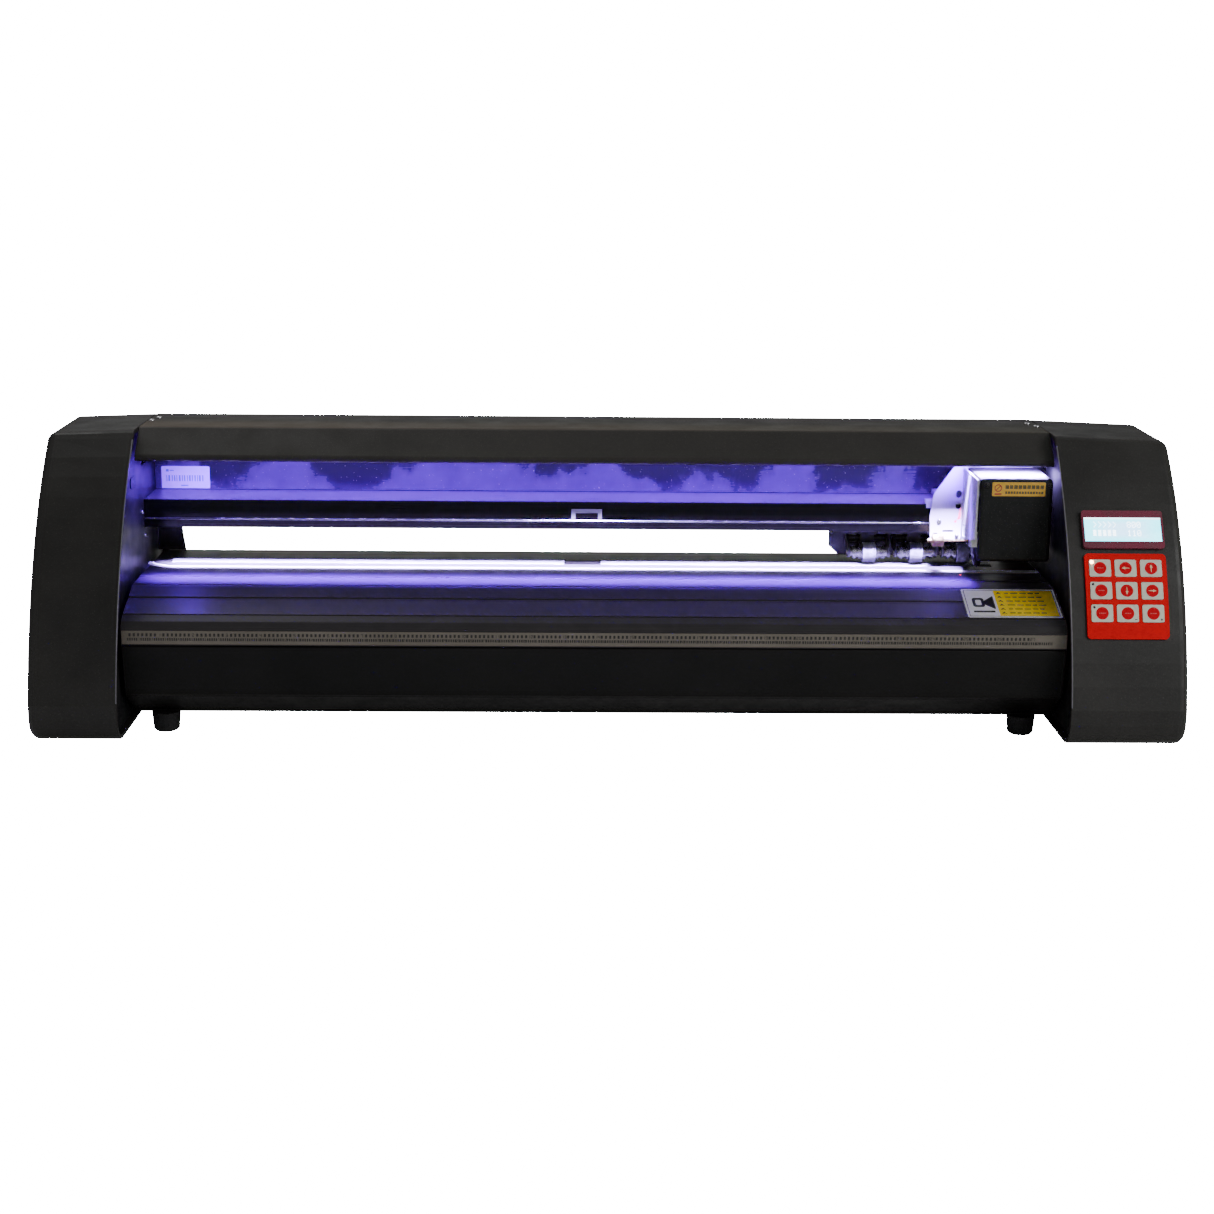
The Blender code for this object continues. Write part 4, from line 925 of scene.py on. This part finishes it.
def add_number(bm, number, middle, low, width, height, line, base, top):
    """A number in figures drawn with straight strokes."""
    text = str(number)
    pitch = width * 1.45
    high, waist = low + height, low + height / 2
    for k, character in enumerate(text):
        left = middle - (pitch * (len(text) - 1) + width) / 2 + k * pitch
        right = left + width
        strokes = {
            "a": (left, high - line, right, high), "d": (left, low, right, low + line),
            "g": (left, waist - line / 2, right, waist + line / 2),
            "f": (left, waist, left + line, high), "b": (right - line, waist, right, high),
            "e": (left, low, left + line, waist), "c": (right - line, low, right, waist),
        }
        for stroke in SEGMENTS[character]:
            x0, y0, x1, y1 = strokes[stroke]
            add_box(bm, (x0, y0, base), (x1, y1, top))


# Each row of the ruler: its unit, parts per unit, width and height of a mark, height of the row's
# middle as a share of the strip, and width of a figure
RULER_ROWS = ((25.4, 8, 1.5, 2.3, 0.7, 1.5), (10.0, 6, 0.95, 2.1, 0.37, 0.85))


def ruler_marks():
    """Inch scale on the upper part of the strip and centimetre scale below it."""
    low, high = span("ruler_strip")
    zero = low.x + 3.0
    length = high.x - 3.0 - zero
    height = high.z - low.z
    base, top = 0.01, 0.07
    bm = bmesh.new()
    for unit, parts, thick, tall, share, figure in RULER_ROWS:
        foot = height * share - tall / 2
        for whole in range(int(length / unit)):
            for part in range(1, parts):
                x = (whole + part / parts) * unit
                add_box(bm, (x - thick / 2, foot, base), (x + thick / 2, foot + tall, top))
            add_number(bm, whole + 1, (whole + 1) * unit, foot, figure, tall, 0.3, base, top)
    place = facing(zero, low.y, low.z, (0, -1, 0))
    piece("ruler_marks", bm, [scale_ink], "root", place)


# ---- Pieces that replace plain CAD shapes ----

TREAD_HALF, HUB_HALF, TREAD_RIBS = 5.2, 5.95, 7


def pinch_rollers():
    """Rubber tread on a two-part hub, with collars and retaining rings on a steel axle."""
    for number in PINCH_UNITS:
        low, high = span(f"pinch_roller_{number}")
        middle = (low + high) / 2
        radius, half = (high.z - low.z) / 2, (high.x - low.x) / 2
        tread = []
        for k in range(TREAD_RIBS):
            left = -TREAD_HALF + 2 * TREAD_HALF * k / TREAD_RIBS
            wide = 2 * TREAD_HALF / TREAD_RIBS
            tread += [(radius - 0.28, left), (radius, left + wide * 0.2), (radius, left + wide * 0.8)]
        tread.append((radius - 0.28, TREAD_HALF))
        side = [(radius - 1.0, 5.7), (5.6, 5.9), (5.6, 8.0), (4.2, 8.5), (4.2, 10.6), (5.4, 10.9),
                (5.4, 11.9), (4.9, 12.05), (4.9, 12.35), (5.4, 12.5), (5.4, 13.2), (3.4, 13.6),
                (3.4, 14.7), (1.9, 14.9), (1.9, 16.1), (1.5, 16.2), (1.5, 16.7), (1.9, 16.8),
                (1.9, half - 0.3), (1.6, half)]
        profile = [(r, -x) for r, x in reversed(side)] + tread + side
        finishes = []
        for (_, x0), (_, x1) in zip(profile, profile[1:]):
            outward = max(abs(x0), abs(x1))
            finishes.append(0 if outward <= TREAD_HALF else 1 if outward <= HUB_HALF else 2)
        bm = bmesh.new()
        add_turned(bm, profile, 40, LAID_ALONG_X, finishes)
        place = MACHINE @ Matrix.Translation(middle * MM)
        roller = piece(f"pinch_wheel_{number}", bm, [tread_rubber, part_black, bare_steel],
                       f"pinch_roller_{number}", place, 30)
        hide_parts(f"pinch_roller_{number}")


def clamp_knob():
    """Knurled brass head on a threaded stem."""
    low, high = span("clamp_knob")
    middle = middle_of("clamp_knob")
    axis = Matrix.Translation((0, middle.y, middle.z)) @ LAID_ALONG_X
    bm = bmesh.new()
    head = [(1.0, low.x), (1.6, low.x + 0.8), (1.6, low.x + 3.2)]
    grip = [(4.4, low.x + 3.5), (4.8, low.x + 4.2), (4.8, low.x + 12.0), (4.4, low.x + 12.8)]
    thread_start, pitch = low.x + 13.2, 0.5
    stem = [(0.95, thread_start)]
    for k in range(int((high.x - thread_start) / pitch)):
        start = thread_start + k * pitch
        stem += [(0.95, start + 0.12), (0.72, start + 0.37)]
    stem.append((0.7, high.x))
    add_turned(bm, head, 24, axis)
    add_turned(bm, [(head[-1][0], head[-1][1] + 0.001)] + grip + [(0.9, low.x + 13.0)], 56, axis,
               ripple=0.22)
    add_turned(bm, stem, 16, axis)
    knob = piece("knurled_clamp_knob", bm, [brass], "clamp_knob", angle=40)
    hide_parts("clamp_knob")


def lamp_chips():
    """Lamp packages under the light bar."""
    low, high = span("led_light_bar")
    middle = (low.y + high.y) / 2
    bm = bmesh.new()
    for k in range(int((high.x - low.x - 10.0) / LAMP_PITCH) + 1):
        x = low.x + 6.0 + k * LAMP_PITCH
        add_box(bm, (x - 2.5, middle - 2.5, low.z - 1.3), (x + 2.5, middle + 2.5, low.z - 0.02), 0, 0.3)
    piece("light_bar_lamps", bm, [lamp_chip], "root")


def carriage_details():
    """Glow of the laser in the flange's window and its dot on the platen."""
    bm = bmesh.new()
    add_turned(bm, [(0.75, 0.0), (0.75, 0.08)], 16)
    piece("laser_dot", bm, [laser_red], "carriage",
          facing(282.4, 117.0, PLATEN_TOP + 0.06, (0, 0, 1)), 30)
    bm = bmesh.new()
    add_prism(bm, [[(-0.5, 0.0), (1.6, 9.5), (2.0, 3.6), (1.4, 0.4)]], 0.0, 0.3)
    add_prism(bm, [[(-3.4, -1.8), (-0.8, -0.2), (-1.6, -2.6)]], 0.0, 0.3)
    piece("laser_glow", bm, [laser_red], "carriage",
          facing(282.2, CARRIAGE_FACE - 0.01, 147.8, (0, -1, 0)))


def casing_edge_beads():
    """Thin rounded lip along the inner front edge of each end casing, pale grey as a painted highlight along
    that edge.
    """
    total = CURVE_RADIUS * 2 * math.asin(math.dist(CURVE_LOW, CURVE_HIGH) / 2 / CURVE_RADIUS)
    steps, radius, inset = 36, 0.55, 0.35
    for name, x in (("left_casing_lip", INNER_LEFT - inset), ("right_casing_lip", INNER_RIGHT + inset)):
        bm = bmesh.new()
        rings = []
        for i in range(steps + 1):
            back, up, tilt = on_curve(2.0 + (total - 4.0) * i / steps, -inset)
            normal = Vector((0.0, -math.sin(tilt), math.cos(tilt)))
            rings.append([bm.verts.new(Vector((x, back, up)) + (Vector((math.cos(angle), 0, 0))
                                                                + normal * math.sin(angle)) * radius)
                          for angle in around(8)])
        skin_rings(bm, rings)
        piece(name, bm, [lip_painted_highlight], "root", angle=60)


def rail_guide():
    """Polished round guide let into the ledge of the rail's front face."""
    low, high = span("carriage_rail")
    radius, back, up = 1.0, low.y + 0.75, low.z + 6.85
    bm = bmesh.new()
    along = Matrix.Translation((0, back, up)) @ LAID_ALONG_X
    add_turned(bm, [(radius * 0.8, low.x + 1.0), (radius, low.x + 1.3), (radius, high.x - 1.3),
                    (radius * 0.8, high.x - 1.0)], 20, along)
    piece("rail_guide_rod", bm, [guide_steel], "root")


def belt_grommet():
    """Dark oval bush where the belt passes the left frame."""
    bm = bmesh.new()
    add_prism(bm, [rounded_rectangle(17.0, 9.0, 4.4)], 0.02, 0.8)
    piece("frame_grommet", bm, [part_black], "root",
          facing(FRAME_FACE, 101.3, 179.8, (1, 0, 0)))


def socket_details():
    """Pins of the power inlet and tongue of the data port."""
    inlet_low, inlet_high = span("power_inlet")
    middle = middle_of("power_inlet")
    bm = bmesh.new()
    for back, up in ((-7.0, -2.0), (0.0, 2.8), (7.0, -2.0)):
        add_box(bm, (inlet_low.x + 2.3, middle.y + back - 1.0, middle.z + up - 2.2),
                (inlet_high.x - 3.0, middle.y + back + 1.0, middle.z + up + 2.2), 0, 0.35)
    piece("power_inlet_pins", bm, [socket_pin], "root")
    port_low, port_high = span("data_port")
    middle = middle_of("data_port")
    bm = bmesh.new()
    add_box(bm, (port_low.x + 2.3, middle.y - 3.0, middle.z - 2.2),
            (port_high.x - 2.0, middle.y + 3.0, middle.z + 2.2), 0, 0.3)
    piece("data_port_tongue", bm, [label_white], "root")


# ---- Stage, lights and camera ----

PALE = (0.93, 0.93, 0.935)
FLOOR_HALF = 12.0                       # metres
FLOOR_GLOW, SKY_SEEN = 40.0, 40.0       # strengths that only the camera sees
SKY_LIGHT = 0.17


def stage_floor():
    bm = bmesh.new()
    bmesh.ops.create_grid(bm, x_segments=1, y_segments=1, size=FLOOR_HALF)
    mesh = bpy.data.meshes.new("floor")
    bm.to_mesh(mesh)
    bm.free()
    made = Finish("floor_pale", shine=0.1, glow=(1.0, 1.0, 1.0))
    grain = made.mottle(300.0, detail=2.0)
    made.colour(made.blend(grain, scaled(PALE, 0.98), PALE))
    made.rough(made.remap(grain, 0.0, 1.0, 0.75, 0.85))
    seen = made.node("LightPath").outputs["Is Camera Ray"]
    made.glow(made.math("MULTIPLY", seen, FLOOR_GLOW))
    mesh.materials.append(made.material)
    floor = bpy.data.objects.new("floor", mesh)
    floor.location.z = -0.0004
    bpy.context.scene.collection.objects.link(floor)


def surroundings():
    """Even studio surround: white to look at, soft as a light."""
    world = bpy.data.worlds.new("studio")
    bpy.context.scene.world = world
    world.use_nodes = True
    nodes, links = world.node_tree.nodes, world.node_tree.links
    background = nodes["Background"]
    background.inputs["Color"].default_value = (1.0, 1.0, 1.0, 1.0)
    path = nodes.new("ShaderNodeLightPath")
    strength = nodes.new("ShaderNodeMapRange")
    strength.inputs["To Min"].default_value = SKY_LIGHT
    strength.inputs["To Max"].default_value = SKY_SEEN
    links.new(path.outputs["Is Camera Ray"], strength.inputs["Value"])
    links.new(strength.outputs["Result"], background.inputs["Strength"])


def area_light(name, place, target, size, energy, colour=(1.0, 1.0, 1.0)):
    lamp = bpy.data.lights.new(name, "AREA")
    lamp.shape = "RECTANGLE"
    lamp.size, lamp.size_y = size
    lamp.energy = energy
    lamp.color = colour
    obj = bpy.data.objects.new(name, lamp)
    bpy.context.scene.collection.objects.link(obj)
    obj.location = place
    heading = Vector(target) - Vector(place)
    obj.rotation_euler = heading.to_track_quat("-Z", "Y").to_euler()
    obj.visible_camera = False
    return obj


PALE_VIOLET = (0.42, 0.3, 1.0)
SOFTBOXES = (   # name, place and target in metres, size, watts
    ("overhead_softbox", (0.2, 1.0, 1.8), (0.0, 0.0, 0.15), (2.0, 1.0), 3.0),
    ("top_left_softbox", (-0.6, 0.45, 1.3), (-0.42, 0.0, 0.2), (0.5, 0.4), 3.0),
    ("right_softbox", (1.7, -1.4, 1.2), (0.3, 0.0, 0.15), (1.2, 1.0), 24.0),
    ("left_softbox", (-2.0, -1.3, 1.1), (-0.2, 0.0, 0.1), (1.2, 1.0), 2.0),
    ("rear_softbox", (0.0, 2.4, 0.9), (0.0, 0.0, 0.1), (2.0, 1.0), 2.0),
)
BAR_BEAMS = (   # name, lean towards the rear and width in degrees, watts, colour
    ("light_bar_core", 20.0, 20.0, 12.0, PALE_VIOLET),
    ("light_bar_flood", -11.0, 28.0, 5.5, VIOLET),
    ("light_bar_guide", 31.0, 5.0, 0.5, PALE_VIOLET),
    ("light_bar_wash", 66.0, 60.0, 1.35, VIOLET),
)


def lights():
    """Soft studio lamps, and the beams of the machine's own light bar."""
    for softbox in SOFTBOXES:
        area_light(*softbox)
    low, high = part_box("led_light_bar")
    middle = (low + high) / 2
    glow_up = low.z - 0.0035
    for name, lean, cone, energy, colour in BAR_BEAMS:
        beam = area_light(name, (middle.x, middle.y, glow_up), (middle.x, middle.y, 0.0),
                          (high.x - low.x - 0.01, 0.006), energy, colour)
        beam.rotation_euler = (math.radians(lean), 0.0, 0.0)
        beam.data.spread = math.radians(cone)
    hood_low, hood_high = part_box("carriage_cover")
    hood_x = (hood_low.x + hood_high.x) / 2
    spill = area_light("light_bar_spill", (hood_x, middle.y, glow_up), (hood_x, middle.y, 0.0),
                       (hood_high.x - hood_low.x, 0.006), 2.0, PALE_VIOLET)
    spill.data.spread = math.radians(170.0)
    area_light("light_bar_end", (low.x + 0.02, middle.y, low.z - 0.004),
               (low.x - 0.012, middle.y, low.z - 0.03), (0.012, 0.012), 0.12, VIOLET)


def camera():
    """Camera a little above the machine and in front of it, at the angle of the product view."""
    lens = bpy.data.cameras.new("camera")
    lens.lens = 62.27
    lens.sensor_width = 36.0
    lens.clip_start = 0.05
    eye = bpy.data.objects.new("camera", lens)
    bpy.context.scene.collection.objects.link(eye)
    yaw, pitch, roll = 0.01932, 0.23546, 0.00993
    turn = (Matrix.Rotation(-yaw, 4, "Z") @ Matrix.Rotation(math.pi / 2 - pitch, 4, "X")
            @ Matrix.Rotation(roll, 4, "Z"))
    eye.matrix_world = Matrix.Translation((-0.03265, -1.6388, 0.4804)) @ turn
    bpy.context.scene.camera = eye


finish_nodes()
keypad_membrane()
keys()
indicators()
display()
cover_sticker()
platen_label()
wall_label()
centre_mark()
ruler_marks()
pinch_rollers()
clamp_knob()
lamp_chips()
carriage_details()
casing_edge_beads()
rail_guide()
belt_grommet()
socket_details()
screws()
stage_floor()
surroundings()
lights()
camera()
